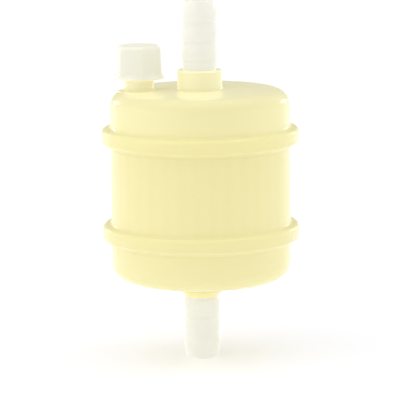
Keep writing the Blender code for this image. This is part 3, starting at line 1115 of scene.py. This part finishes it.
@dataclass
class VentNeck:
    """The vent's neck, its threaded spout and its bore, about the axis of the vent cap."""

    axis_x: float
    bore: float = 2.6 * MM
    spout_radius: float = 4.2 * MM
    spout_edge: float = 0.5 * MM
    rim_radius: float = 5.5 * MM
    rim_height: float = 3.8 * MM
    rim_edge: float = 0.5 * MM
    waist_radius: float = 4.75 * MM
    foot_fillet: float = 2.4 * MM
    foot_share: float = 0.98
    foot_sink: float = 0.15 * MM
    foot_margin: float = 0.6 * MM
    buried_part: float = 0.8
    bead_radius: float = 0.65 * MM
    bead_turns: float = 1.6
    bead_rise: float = 6.3 * MM

    def neck(self, flat: float, wall: float) -> bpy.types.Object:
        """Make the solid neck and spout.

        Args:
            flat: Height of the flat that it stands on.
            wall: Thickness of that flat.

        Returns:
            The solid, to be joined to the dome.
        """
        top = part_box("inlet_dome")[1].z
        foot = self.waist_radius + self.foot_fillet
        buried = flat - self.buried_part * wall
        corners = [
            Corner(0, top),
            Corner(self.spout_radius, top, self.spout_edge),
            Corner(self.spout_radius, flat + self.rim_height, SMALL_EDGE),
            Corner(self.rim_radius, flat + self.rim_height, self.rim_edge),
            Corner(self.waist_radius, flat - self.foot_sink, self.foot_fillet * self.foot_share),
            Corner(foot + self.foot_margin, flat - self.foot_sink),
            Corner(foot + self.foot_margin, buried),
            Corner(0, buried),
        ]
        return lathe("vent_neck", corners, FITTING_SIDES, self.axis_x)

    def bead(self, thread: Thread, finish: bpy.types.Material) -> bpy.types.Object:
        """Wind the thread bead on the spout.

        Args:
            thread: The thread that winds it.
            finish: The housing's finish.

        Returns:
            The bead, to be joined to the dome.
        """
        foot = Vector((self.axis_x, 0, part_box("inlet_dome")[1].z - self.bead_rise))
        return thread.bead("spout_bead", self.spout_radius, self.bead_radius, self.bead_turns, foot, finish)

    def bore_cutter(self, inside: float) -> bpy.types.Object:
        """Make the cutter for the bore.

        Args:
            inside: Height of the dome's inner face.

        Returns:
            The cutter.
        """
        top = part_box("inlet_dome")[1].z + self.bore
        corners = [
            Corner(0, top),
            Corner(self.bore, top),
            Corner(self.bore, inside - self.bore),
            Corner(0, inside - self.bore),
        ]
        return lathe("vent_bore", corners, FITTING_SIDES, self.axis_x)


@dataclass
class Fittings:
    """The two hose-barb fittings and the O-rings on their shanks."""

    finish: bpy.types.Material
    rubber: bpy.types.Material
    bore: float = 3.8 * MM
    tip_radius: float = 5.7 * MM
    tip_edge: float = 0.35 * MM
    lead_in_radius: float = 6.3 * MM
    lead_in: float = 2.2 * MM
    lead_in_round: float = 2.0 * MM
    barb_radius: float = 6.6 * MM
    notch_radius: float = 6.3 * MM
    neck_radius: float = 5.75 * MM
    first_barb: float = 7.2 * MM
    barb_pitch: float = 7.0 * MM
    barbs: int = 3
    land: float = 3.0 * MM
    step: float = 0.9 * MM
    notch: float = 1.0 * MM
    crest_round: float = 6.0 * MM
    crest_edge: float = 0.5 * MM
    shank_radius: float = 6.4 * MM
    shank_start: float = 27.6 * MM
    groove_middle: float = 30.9 * MM
    groove_half_width: float = 0.9 * MM
    groove_depth: float = 1.4 * MM
    groove_round: float = 0.15 * MM
    foot_thickness: float = 1.5 * MM

    def outline(self, node: str) -> list[Corner]:
        """Corners of a fitting whose tip is at z = 0 and whose foot is up.

        Args:
            node: The CAD node that gives the fitting's length and foot.

        Returns:
            Corners down the outer side and up the bore.
        """
        low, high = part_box(node)
        length, foot_radius = high.z - low.z, high.x
        seat = length - self.foot_thickness
        inner = self.shank_radius - self.groove_depth
        groove_low = self.groove_middle - self.groove_half_width
        groove_high = self.groove_middle + self.groove_half_width
        outside = [
            Corner(self.tip_radius, 0, self.tip_edge),
            Corner(self.lead_in_radius, self.lead_in, self.lead_in_round),
        ]
        for i in range(self.barbs):
            crest = self.first_barb + self.barb_pitch * i
            outside += [
                Corner(self.barb_radius, crest - self.land, self.crest_round),
                Corner(self.barb_radius, crest, self.crest_edge * 2),
                Corner(self.notch_radius, crest + self.step, self.crest_edge),
                Corner(self.notch_radius, crest + self.step + self.notch, self.crest_edge),
            ]
        outside += [
            Corner(self.neck_radius, self.shank_start),
            Corner(self.shank_radius, self.shank_start, self.crest_edge),
            Corner(self.shank_radius, groove_low, FINE_EDGE),
            Corner(inner, groove_low, self.groove_round),
            Corner(inner, groove_high, self.groove_round),
            Corner(self.shank_radius, groove_high, FINE_EDGE),
            Corner(self.shank_radius, seat, FINE_EDGE),
            Corner(foot_radius, seat, SOFT_EDGE),
            Corner(foot_radius, length, SOFT_EDGE),
        ]
        bore = [Corner(self.bore, 0, self.tip_edge), Corner(self.bore, length, SOFT_EDGE)]
        return [*reversed(outside), *bore]

    def fitting(self, end: End) -> bpy.types.Object:
        """Turn one fitting.

        Args:
            end: The end that it is fixed in.

        Returns:
            The fitting.
        """
        name = f"{end.value}_barb_fitting"
        corners = self.outline(name)
        if end is End.INLET:
            corners = flipped(corners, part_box(name)[1].z / 2)
        return lathe(f"{end.value}_hose_barb", corners, FITTING_SIDES)

    def build(self) -> None:
        """Build and dress the fittings and their O-rings."""
        for end in End:
            prefix = end.value
            mount_piece(self.fitting(end), self.finish, Body.HOUSING, f"{prefix}_barb_fitting")
            ring = o_ring(f"{prefix}_shank_ring", f"{prefix}_fitting_o_ring")
            mount_piece(ring, self.rubber, Body.HOUSING, f"{prefix}_fitting_o_ring")


def o_ring(name: str, node: str) -> bpy.types.Object:
    """Turn an O-ring that fills its CAD node's box.

    Args:
        name: Name of the piece.
        node: The CAD node.

    Returns:
        The ring.
    """
    low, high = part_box(node)
    section = high.z - low.z
    outer, inner = high.x, high.x - section
    round_corner = section / 2 * O_RING_ROUND
    corners = [
        Corner(outer, high.z, round_corner),
        Corner(outer, low.z, round_corner),
        Corner(inner, low.z, round_corner),
        Corner(inner, high.z, round_corner),
    ]
    return lathe(name, corners, FITTING_SIDES)


@dataclass
class VentCap:
    """The vent's hexagonal screw cap with its round flare, inner thread and seal."""

    finish: bpy.types.Material
    rubber: bpy.types.Material
    thread: Thread
    axis_x: float
    facets: int = 6
    corner_angle: float = math.radians(-80.5)
    corner_radius: float = 8.9 * MM
    corner_fillet: float = 1.1 * MM
    draft: float = 0.35 * MM
    flare_foot: float = 0.5 * MM
    flare_height: float = 2.8 * MM
    belly: float = 0.2
    crown_chamfer: float = 1.3 * MM
    crown_drop: float = 1.5 * MM
    crown_dish: float = 0.25 * MM
    crown_rim: float = 0.6 * MM
    dish_rim: float = 1.3 * MM
    dish_roundness: float = 0.4
    blend_rings: int = 8
    wall_rings: int = 4
    edge: float = 0.3 * MM
    bore: float = 5.3 * MM
    ceiling_depth: float = 2.1 * MM
    bead_radius: float = 0.7 * MM
    bead_turns: float = 1.2
    bead_height: float = 3.5 * MM
    ring_points: int = 144
    cavity_fillet: float = 0.4 * MM
    seal_land: float = 0.8 * MM
    seal_slope: float = 0.2 * MM
    seal_dish: float = 0.15 * MM

    def hexagon(self, angle: float, corner_radius: float, fillet: float) -> float:
        """Radius of a hexagon with rounded corners in one direction.

        Args:
            angle: The direction.
            corner_radius: Radius of its corners before they are rounded.
            fillet: Radius of the rounding.

        Returns:
            The distance from the middle to the edge.
        """
        sector = math.tau / self.facets
        from_corner = abs((angle - self.corner_angle + sector / 2) % sector - sector / 2)
        centre = corner_radius - fillet / math.cos(sector / 2)
        tangent = math.atan2(
            fillet * math.sin(sector / 2), centre + fillet * math.cos(sector / 2)
        )
        if from_corner < tangent:
            across = centre * math.sin(from_corner)
            return centre * math.cos(from_corner) + math.sqrt(fillet**2 - across**2)
        return corner_radius * math.cos(sector / 2) / math.cos(sector / 2 - from_corner)

    def rings(self) -> list[tuple[float, float, float]]:
        """Heights, corner radii and roundness of the cap's rings, from its rim to its crown.

        Returns:
            A list in which roundness 1 is a circle and 0 the hexagon.
        """
        low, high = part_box("vent_cap")
        flare = (high.x - low.x) / 2
        ledge = low.z + self.flare_height
        crown = high.z - self.crown_drop
        rings = []
        for angle in (90, 45, 0):
            turn = math.radians(angle)
            drop, reach = self.edge * math.sin(turn), self.edge * math.cos(turn)
            rings.append((low.z + self.edge - drop, flare - self.edge + reach, 1.0))
        foot = low.z + self.flare_foot
        for i in range(self.blend_rings + 1):
            part = i / self.blend_rings
            ease = 1 - part * part * (3 - 2 * part)
            radius = self.corner_radius + (flare - self.corner_radius) * ease
            rings.append((foot + (ledge - foot) * part, radius, self.belly + (1 - self.belly) * ease))
        for i in range(1, self.wall_rings + 1):
            part = i / self.wall_rings
            rings.append(
                (ledge + (crown - ledge) * part, self.corner_radius - self.draft * part, self.belly)
            )
        top = self.corner_radius - self.draft
        for i in range(1, self.wall_rings + 1):
            turn = math.pi / 2 * i / self.wall_rings
            inset = self.crown_chamfer * (1 - math.cos(turn))
            rings.append((crown + self.crown_drop * math.sin(turn), top - inset, self.belly))
        flat = top - self.crown_chamfer
        rings.append((high.z, flat - self.crown_rim, self.belly))
        rings.append((high.z - self.crown_dish, flat - self.dish_rim, self.dish_roundness))
        return rings

    def shell(self) -> bpy.types.Object:
        """Loft the outside of the cap through its rings.

        Returns:
            A closed solid.
        """
        work = bmesh.new()
        loops = []
        for z, radius, roundness in self.rings():
            loop = []
            for i in range(self.ring_points):
                angle = math.tau * i / self.ring_points
                facet = self.hexagon(angle, radius, self.corner_fillet)
                reach = facet + (radius - facet) * roundness
                loop.append(
                    work.verts.new((self.axis_x + reach * math.cos(angle), reach * math.sin(angle), z))
                )
            loops.append(loop)
        for below, above in zip(loops, loops[1:]):
            for i in range(self.ring_points):
                j = (i + 1) % self.ring_points
                work.faces.new((below[i], below[j], above[j], above[i]))
        work.faces.new(list(reversed(loops[0])))
        work.faces.new(loops[-1])
        bmesh.ops.recalc_face_normals(work, faces=work.faces)
        mesh = bpy.data.meshes.new("screw_cap")
        work.to_mesh(mesh)
        work.free()
        return new_piece("screw_cap", mesh)

    def cap(self) -> bpy.types.Object:
        """Hollow the shell and wind the inner thread bead in it.

        Returns:
            The cap.
        """
        low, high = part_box("vent_cap")
        ceiling = high.z - self.ceiling_depth
        mouth = low.z - self.edge
        cavity = [
            Corner(0, ceiling),
            Corner(self.bore, ceiling, self.cavity_fillet),
            Corner(self.bore, low.z + 2 * self.edge),
            Corner(self.bore + 3 * self.edge, mouth),
            Corner(0, mouth),
        ]
        cap = self.shell()
        boolean(cap, "DIFFERENCE", lathe("cap_cavity", cavity, FITTING_SIDES, self.axis_x))
        foot = Vector((self.axis_x, 0, low.z + self.bead_height))
        bead = self.thread.bead(
            "cap_bead", self.bore, self.bead_radius, self.bead_turns, foot, self.finish
        )
        return boolean(cap, "UNION", bead)

    def seal(self) -> bpy.types.Object:
        """Turn the sealing disc under the cap's ceiling.

        Returns:
            The disc.
        """
        low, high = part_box("vent_seal")
        radius = (high.x - low.x) / 2
        corners = [
            Corner(0, high.z),
            Corner(radius, high.z, SMALL_EDGE),
            Corner(radius, low.z, SMALL_EDGE),
            Corner(radius - self.seal_land, low.z, FINE_EDGE),
            Corner(radius - self.seal_land - self.seal_slope, low.z + self.seal_dish, FINE_EDGE),
            Corner(0, low.z + self.seal_dish),
        ]
        return lathe("sealing_disc", corners, FITTING_SIDES, self.axis_x)

    def build(self) -> None:
        """Build and dress the cap and its seal."""
        mount_piece(self.cap(), self.finish, Body.CAP, "vent_cap")
        mount_piece(self.seal(), self.rubber, Body.CARRIER, "vent_seal")


@dataclass
class Cartridge:
    """The pleated cartridge: end caps, core, cage, pleat pack and seam strip."""

    plastic: bpy.types.Material
    fleece: bpy.types.Material
    membrane: bpy.types.Material
    rubber: bpy.types.Material
    cap_thickness: float = 2.0 * MM
    rim_wall: float = 0.9 * MM
    spigot_radius: float = 10.6 * MM
    spigot_bore: float = 7.5 * MM
    groove_half_width: float = 0.9 * MM
    groove_depth: float = 1.4 * MM
    edge: float = 0.4 * MM
    spigot_edge: float = 0.25 * MM
    slot_rows: int = 3
    pleats: int = 18
    crest_radius: float = 23.4 * MM
    valley_radius: float = 12.0 * MM
    crest_width: float = 2.4 * MM
    valley_width: float = 1.9 * MM
    fold_radius: float = 0.85 * MM
    layer_thickness: float = 0.3 * MM
    layer_step: float = 0.6 * MM
    tube_sides: int = 96
    tube_tree: bpy.types.NodeTree = field(init=False)
    layer_tree: bpy.types.NodeTree = field(init=False)

    def __post_init__(self) -> None:
        """Build the two geometry trees."""
        self.tube_tree = self.slotted_tube_tree()
        self.layer_tree = self.pleat_tree()

    def top_cap(self) -> bpy.types.Object:
        """Turn the closed upper end cap.

        Returns:
            The cap.
        """
        low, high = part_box("cartridge_top_cap")
        radius, rim = high.x, high.x - self.rim_wall
        inner = high.z - self.cap_thickness
        corners = [
            Corner(0, high.z),
            Corner(radius, high.z, self.edge),
            Corner(radius, low.z, SMALL_EDGE),
            Corner(rim, low.z, SMALL_EDGE),
            Corner(rim, inner, SOFT_EDGE),
            Corner(0, inner),
        ]
        return lathe("upper_end_cap", corners, BODY_SIDES)

    def bottom_cap(self) -> bpy.types.Object:
        """Turn the lower end cap with its grooved spigot.

        Returns:
            The cap.
        """
        low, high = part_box("cartridge_bottom_cap")
        ring_low, ring_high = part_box("spigot_o_ring")
        middle = (ring_low.z + ring_high.z) / 2
        radius, rim = high.x, high.x - self.rim_wall
        face = low.z + SPIGOT_LENGTH
        inner = self.spigot_radius - self.groove_depth
        corners = [
            Corner(rim, high.z, SMALL_EDGE),
            Corner(radius, high.z, SMALL_EDGE),
            Corner(radius, face, self.edge),
            Corner(self.spigot_radius, face),
            Corner(self.spigot_radius, middle + self.groove_half_width, FINE_EDGE),
            Corner(inner, middle + self.groove_half_width, FINE_EDGE),
            Corner(inner, middle - self.groove_half_width, FINE_EDGE),
            Corner(self.spigot_radius, middle - self.groove_half_width, FINE_EDGE),
            Corner(self.spigot_radius, low.z, self.spigot_edge),
            Corner(self.spigot_bore, low.z, SOFT_EDGE),
            Corner(self.spigot_bore, face + self.cap_thickness, SOFT_EDGE),
            Corner(rim, face + self.cap_thickness, SOFT_EDGE),
        ]
        return lathe("lower_end_cap", corners, BODY_SIDES)

    def slotted_tube_tree(self) -> bpy.types.NodeTree:
        """Build the geometry tree of a tube with rings of slots through its wall.

        Returns:
            The tree.
        """
        build = geometry_tree(
            "slotted_tube",
            [
                ("Material", "NodeSocketMaterial"),
                ("Radius", "NodeSocketFloat"),
                ("Wall", "NodeSocketFloat"),
                ("Low", "NodeSocketFloat"),
                ("Height", "NodeSocketFloat"),
                ("Sides", "NodeSocketInt"),
                ("Columns", "NodeSocketInt"),
                ("Slot Width", "NodeSocketFloat"),
                ("Rows", "NodeSocketInt"),
                ("Rib", "NodeSocketFloat"),
            ],
        )
        sizes = build.tree.nodes["Sizes"].outputs
        low, height = sizes["Low"], sizes["Height"]
        middle = build.math("ADD", low, build.math("MULTIPLY", height, 0.5))
        radius = build.math("SUBTRACT", sizes["Radius"], build.math("MULTIPLY", sizes["Wall"], 0.5))
        ring = build.add(
            "GeometryNodeCurvePrimitiveCircle", Resolution=sizes["Sides"], Radius=radius
        )
        upright = build.add("GeometryNodeSetCurveNormal", {"mode": "Z_UP"}, Curve=ring.outputs[0])
        section = build.add(
            "GeometryNodeCurvePrimitiveQuadrilateral", Width=sizes["Wall"], Height=height
        )
        wall = build.add(
            "GeometryNodeCurveToMesh", Curve=upright.outputs[0], Profile_Curve=section.outputs[0]
        )
        tube = build.add(
            "GeometryNodeTransform",
            Geometry=wall.outputs[0],
            Translation=build.add("ShaderNodeCombineXYZ", Z=middle).outputs[0],
        )
        clear = build.math("SUBTRACT", height, sizes["Rib"])
        pitch = build.math("DIVIDE", clear, sizes["Rows"])
        slot_height = build.math("SUBTRACT", pitch, sizes["Rib"])
        half_slot = build.math("MULTIPLY", slot_height, 0.5)
        start = build.math("ADD", low, build.math("ADD", sizes["Rib"], half_slot))
        places = build.add(
            "GeometryNodeMeshLine",
            {"mode": "OFFSET"},
            Count=sizes["Rows"],
            Start_Location=build.add("ShaderNodeCombineXYZ", Z=start).outputs[0],
            Offset=build.add("ShaderNodeCombineXYZ", Z=pitch).outputs[0],
        )
        columns = build.add(
            "GeometryNodeCurvePrimitiveCircle", Resolution=sizes["Columns"], Radius=sizes["Radius"]
        )
        column_points = build.add(
            "GeometryNodeCurveToPoints", {"mode": "EVALUATED"}, Curve=columns.outputs[0]
        )
        slot = build.add(
            "GeometryNodeMeshCube",
            Size=build.add(
                "ShaderNodeCombineXYZ",
                X=build.math("MULTIPLY", sizes["Wall"], 6.0),
                Y=sizes["Slot Width"],
                Z=slot_height,
            ).outputs[0],
        )
        centre = build.add("GeometryNodeInputPosition").outputs[0]
        facing = build.add(
            "FunctionNodeAlignRotationToVector", {"axis": "X"}, Vector=centre
        )
        row = build.add(
            "GeometryNodeInstanceOnPoints",
            Points=column_points.outputs[0],
            Instance=slot.outputs[0],
            Rotation=facing.outputs[0],
        )
        grid = build.add(
            "GeometryNodeInstanceOnPoints", Points=places.outputs[0], Instance=row.outputs[0]
        )
        slots = build.add("GeometryNodeRealizeInstances", i0=grid.outputs[0])
        cut = build.add("GeometryNodeMeshBoolean", {"operation": "DIFFERENCE", "solver": "EXACT"})
        build.tree.links.new(tube.outputs[0], cut.inputs[0])
        build.tree.links.new(slots.outputs[0], cut.inputs[1])
        return finish_tree(build, cut.outputs[0])

    def slotted_tube(
        self, name: str, node: str, wall: float, columns: int, slot_width: float, rib: float
    ) -> bpy.types.Object:
        """Make one slotted tube that fills its CAD node's box.

        Args:
            name: Name of the piece.
            node: The CAD node.
            wall: Thickness of its wall.
            columns: Slots in a ring.
            slot_width: Width of a slot round the tube.
            rib: Height of the ribs between the rings.

        Returns:
            The tube.
        """
        low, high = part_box(node)
        return from_tree(
            name,
            self.tube_tree,
            self.plastic,
            {
                "Radius": high.x,
                "Wall": wall,
                "Low": low.z,
                "Height": high.z - low.z,
                "Sides": self.tube_sides,
                "Columns": columns,
                "Slot Width": slot_width,
                "Rows": self.slot_rows,
                "Rib": rib,
            },
        )

    def pleat_tree(self) -> bpy.types.NodeTree:
        """Build the geometry tree of one pleated layer, folded round a circle.

        Returns:
            The tree.
        """
        build = geometry_tree(
            "pleated_layer",
            [
                ("Material", "NodeSocketMaterial"),
                ("Pleats", "NodeSocketInt"),
                ("Crest Radius", "NodeSocketFloat"),
                ("Valley Radius", "NodeSocketFloat"),
                ("Crest Width", "NodeSocketFloat"),
                ("Valley Width", "NodeSocketFloat"),
                ("Fold Radius", "NodeSocketFloat"),
                ("Offset", "NodeSocketFloat"),
                ("Thickness", "NodeSocketFloat"),
                ("Low", "NodeSocketFloat"),
                ("Height", "NodeSocketFloat"),
            ],
        )
        sizes = build.tree.nodes["Sizes"].outputs
        corners = build.math("MULTIPLY", sizes["Pleats"], 4.0)
        ring = build.add("GeometryNodeCurvePrimitiveCircle", Resolution=corners, Radius=1.0)
        index = build.add("GeometryNodeInputIndex").outputs[0]
        fold = build.math("FLOOR", build.math("DIVIDE", index, 2.0))
        in_valley = build.math("MODULO", fold, 2.0)
        side = build.math("SUBTRACT", build.math("MODULO", index, 2.0), 0.5)
        radius = build.choose(in_valley, sizes["Crest Radius"], sizes["Valley Radius"])
        width = build.choose(in_valley, sizes["Crest Width"], sizes["Valley Width"])
        half_pitch = build.math("DIVIDE", math.pi, sizes["Pleats"])
        swing = build.math("DIVIDE", build.math("MULTIPLY", side, width), radius)
        angle = build.math("ADD", build.math("MULTIPLY", fold, half_pitch), swing)
        place = build.add(
            "ShaderNodeCombineXYZ",
            X=build.math("MULTIPLY", radius, build.math("COSINE", angle)),
            Y=build.math("MULTIPLY", radius, build.math("SINE", angle)),
            Z=build.math("ADD", sizes["Low"], build.math("MULTIPLY", sizes["Height"], 0.5)),
        )
        folded = build.add(
            "GeometryNodeSetPosition", Geometry=ring.outputs[0], Position=place.outputs[0]
        )
        rounded = build.add(
            "GeometryNodeFilletCurve",
            {"mode": "POLY"},
            Curve=folded.outputs[0],
            Count=6,
            Radius=sizes["Fold Radius"],
            Limit_Radius=True,
        )
        tangent = build.add("GeometryNodeInputTangent").outputs[0]
        outward = build.add(
            "ShaderNodeVectorMath", {"operation": "CROSS_PRODUCT"}, i0=tangent, i1=(0, 0, 1)
        )
        shift = build.add(
            "ShaderNodeVectorMath",
            {"operation": "SCALE"},
            i0=outward.outputs[0],
            Scale=sizes["Offset"],
        )
        moved = build.add(
            "GeometryNodeSetPosition", Geometry=rounded.outputs[0], Offset=shift.outputs[0]
        )
        upright = build.add("GeometryNodeSetCurveNormal", {"mode": "Z_UP"}, Curve=moved.outputs[0])
        section = build.add(
            "GeometryNodeCurvePrimitiveQuadrilateral",
            Width=sizes["Thickness"],
            Height=sizes["Height"],
        )
        sheet = build.add(
            "GeometryNodeCurveToMesh", Curve=upright.outputs[0], Profile_Curve=section.outputs[0]
        )
        return finish_tree(build, sheet.outputs[0])

    def layer(self, name: str, node: str, offset: float, finish: bpy.types.Material) -> bpy.types.Object:
        """Fold one layer of the pleat pack.

        Args:
            name: Name of the piece.
            node: The CAD node that gives its height.
            offset: Distance outwards from the pack's middle line.
            finish: Its finish.

        Returns:
            The layer.
        """
        low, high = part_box(node)
        return from_tree(
            name,
            self.layer_tree,
            finish,
            {
                "Pleats": self.pleats,
                "Crest Radius": self.crest_radius,
                "Valley Radius": self.valley_radius,
                "Crest Width": self.crest_width,
                "Valley Width": self.valley_width,
                "Fold Radius": self.fold_radius,
                "Offset": offset,
                "Thickness": self.layer_thickness,
                "Low": low.z,
                "Height": high.z - low.z,
            },
        )

    def build(self) -> None:
        """Build and dress the cartridge."""
        mount_piece(self.top_cap(), self.plastic, Body.HOUSING, "cartridge_top_cap")
        mount_piece(self.bottom_cap(), self.plastic, Body.HOUSING, "cartridge_bottom_cap")
        core = self.slotted_tube(
            "core_tube", "cartridge_core", wall=1.5 * MM, columns=6, slot_width=5.0 * MM, rib=3.0 * MM
        )
        mount_piece(core, self.plastic, Body.HOUSING, "cartridge_core")
        cage = self.slotted_tube(
            "outer_cage", "cartridge_cage", wall=1.2 * MM, columns=12, slot_width=8.0 * MM, rib=3.5 * MM
        )
        mount_piece(cage, self.plastic, Body.HOUSING, "cartridge_cage")
        layers = (
            ("outer_support", "upstream_support", self.layer_step, self.fleece),
            ("membrane_sheet", "filter_membrane", 0.0, self.membrane),
            ("inner_support", "downstream_support", -self.layer_step, self.fleece),
        )
        for name, node, offset, finish in layers:
            mount_piece(self.layer(name, node, offset, finish), finish, Body.HOUSING, node)
        mount_piece(o_ring("spigot_ring", "spigot_o_ring"), self.rubber, Body.HOUSING, "spigot_o_ring")
        dress_node("pleat_seam_strip", self.plastic)


# Studio


@dataclass
class Studio:
    """A pale floor, a surround brighter at the sides, soft lights and the camera.

    The backdrop is how bright the surround is where it is seen directly.
    """

    ambient: float = 0.37
    backdrop: float = 1.05
    left_box: tuple[Vector, float] = (Vector((-0.94, -0.34, 0)), 1.5)
    right_box: tuple[Vector, float] = (Vector((1, 0, 0)), 1.15)
    front_box: tuple[Vector, float] = (Vector((0, -0.97, 0.24)), 0.25)
    box_focus: float = 2.0
    sun_power: float = 0.82
    sun_width: float = math.radians(70)
    floor_colour: RGB = (0.945, 0.95, 1.0)
    floor_glow: float = 0.06
    floor_tint: RGB = (1.0, 1.0, 1.2)
    floor_size: float = 12.0
    camera_distance: float = 0.84
    camera_elevation: float = math.radians(10)
    camera_roll: float = math.radians(-0.6)
    camera_reach: float = 20.0
    lens: float = 206.0
    aim_part: float = 0.443
    aim_x: float = -0.33 * MM
    strip_side: float = 0.62
    strip_back: float = 0.78
    strip_distance: float = 0.8
    strip_rise: float = 0.1
    strip_width: float = 0.03
    strip_height: float = 0.7
    strip_power: float = 0.2
    spark_size: float = 0.03
    spark_lift: float = 0.10
    spark_power: float = 0.3

    def floor(self) -> None:
        """Lay the floor under the object."""
        half = self.floor_size / 2
        work = bmesh.new()
        bmesh.ops.create_grid(work, x_segments=1, y_segments=1, size=half)
        mesh = bpy.data.meshes.new("floor")
        work.to_mesh(mesh)
        work.free()
        floor = bpy.data.objects.new("floor", mesh)
        bpy.context.scene.collection.objects.link(floor)
        floor.location.z = CAD_BOUNDS[0].z
        material = bpy.data.materials.new("pale_floor")
        material.use_nodes = True
        shader = material.node_tree.nodes["Principled BSDF"]
        shader.inputs["Base Color"].default_value = (*self.floor_colour, 1)
        shader.inputs["Roughness"].default_value = 1.0
        shader.inputs["Specular IOR Level"].default_value = 0.0
        shader.inputs["Emission Color"].default_value = (*self.floor_tint, 1)
        shader.inputs["Emission Strength"].default_value = self.floor_glow
        mesh.materials.append(material)

    def world(self) -> None:
        """Light the scene softly from all round, and more from the sides and the front."""
        world = bpy.data.worlds.new("surround")
        world.use_nodes = True
        background = world.node_tree.nodes["Background"]
        background.inputs["Color"].default_value = (1, 1, 1, 1)
        build = TreeBuilder(world.node_tree)
        direction = build.add("ShaderNodeTexCoord").outputs["Generated"]
        strength = self.ambient
        for aim, power in (self.left_box, self.right_box, self.front_box):
            toward = build.add(
                "ShaderNodeVectorMath", {"operation": "DOT_PRODUCT"}, i0=direction, i1=aim
            )
            facing = build.math("MAXIMUM", toward.outputs["Value"], 0.0)
            boost = build.math("MULTIPLY", build.math("POWER", facing, self.box_focus), power)
            strength = build.math("ADD", boost, strength)
        seen = build.add("ShaderNodeLightPath").outputs["Is Camera Ray"]
        missing = build.math("SUBTRACT", self.backdrop, strength)
        strength = build.math("ADD", strength, build.math("MULTIPLY", seen, missing))
        world.node_tree.links.new(strength, background.inputs["Strength"])
        bpy.context.scene.world = world

    def area_light(
        self, name: str, place: Vector, size: tuple[float, float], power: float, aim: Vector
    ) -> None:
        """Add a rectangular light.

        Args:
            name: Name of the light.
            place: Where it is.
            size: Its width and height.
            power: Its power in watts.
            aim: The point that it faces.
        """
        light = bpy.data.lights.new(name, "AREA")
        light.shape = "RECTANGLE"
        light.size, light.size_y = size
        light.energy = power
        lamp = bpy.data.objects.new(name, light)
        lamp.location = place
        lamp.rotation_mode = "QUATERNION"
        lamp.rotation_quaternion = (aim - place).to_track_quat("-Z", "Y")
        bpy.context.scene.collection.objects.link(lamp)

    def lights(self) -> None:
        """Add the strips behind the object and the soft light above it."""
        middle = (CAD_BOUNDS[0] + CAD_BOUNDS[1]) / 2
        for name, side in (("left_strip", -1), ("right_strip", 1)):
            away = Vector((side * self.strip_side, self.strip_back, self.strip_rise))
            place = middle + self.strip_distance * away
            strip = (self.strip_width, self.strip_height)
            self.area_light(name, place, strip, self.strip_power, middle)
            lift = place + Vector((0, 0, self.strip_distance * self.spark_lift))
            self.area_light(f"{name}_spark", lift, (self.spark_size,) * 2, self.spark_power, middle)
        sun = bpy.data.lights.new("overhead", "SUN")
        sun.energy = self.sun_power
        sun.angle = self.sun_width
        bpy.context.scene.collection.objects.link(bpy.data.objects.new("overhead", sun))

    def camera(self) -> None:
        """Place the camera in front of the object, a little above it."""
        height = CAD_BOUNDS[1].z - CAD_BOUNDS[0].z
        aim = Vector((self.aim_x, 0, CAD_BOUNDS[0].z + self.aim_part * height))
        back = Vector((0, -math.cos(self.camera_elevation), math.sin(self.camera_elevation)))
        data = bpy.data.cameras.new("camera")
        data.lens = self.lens
        data.clip_end = self.camera_reach
        camera = bpy.data.objects.new("camera", data)
        camera.location = aim + back * self.camera_distance
        camera.rotation_mode = "QUATERNION"
        roll = Quaternion((0, 0, 1), self.camera_roll)
        camera.rotation_quaternion = (-back).to_track_quat("-Z", "Y") @ roll
        bpy.context.scene.collection.objects.link(camera)
        bpy.context.scene.camera = camera

    def build(self) -> None:
        """Set up the whole studio."""
        self.floor()
        self.world()
        self.lights()
        self.camera()
        bpy.context.scene.view_settings.view_transform = "Standard"


def vent_axis() -> float:
    """Where the vent cap's turning axis stands along X, from the record's hinge."""
    joint = next(joint for joint in frame["joints"] if joint["name"] == "vent_cap_turn")
    return joint["pos_m"][0]


def main() -> None:
    """Build the sub-assemblies in order, then the studio."""
    logging.basicConfig(level=logging.INFO, format="%(name)s: %(message)s")
    finishes = Finishes()
    thread = Thread()
    axis_x = vent_axis()
    Housing(finishes.housing, thread).build(VentNeck(axis_x))
    Fittings(finishes.fitting, finishes.rubber).build()
    VentCap(finishes.cap, finishes.rubber, thread, axis_x).build()
    Cartridge(finishes.cartridge, finishes.fleece, finishes.membrane, finishes.rubber).build()
    Studio().build()


if __name__ == "__main__":
    main()
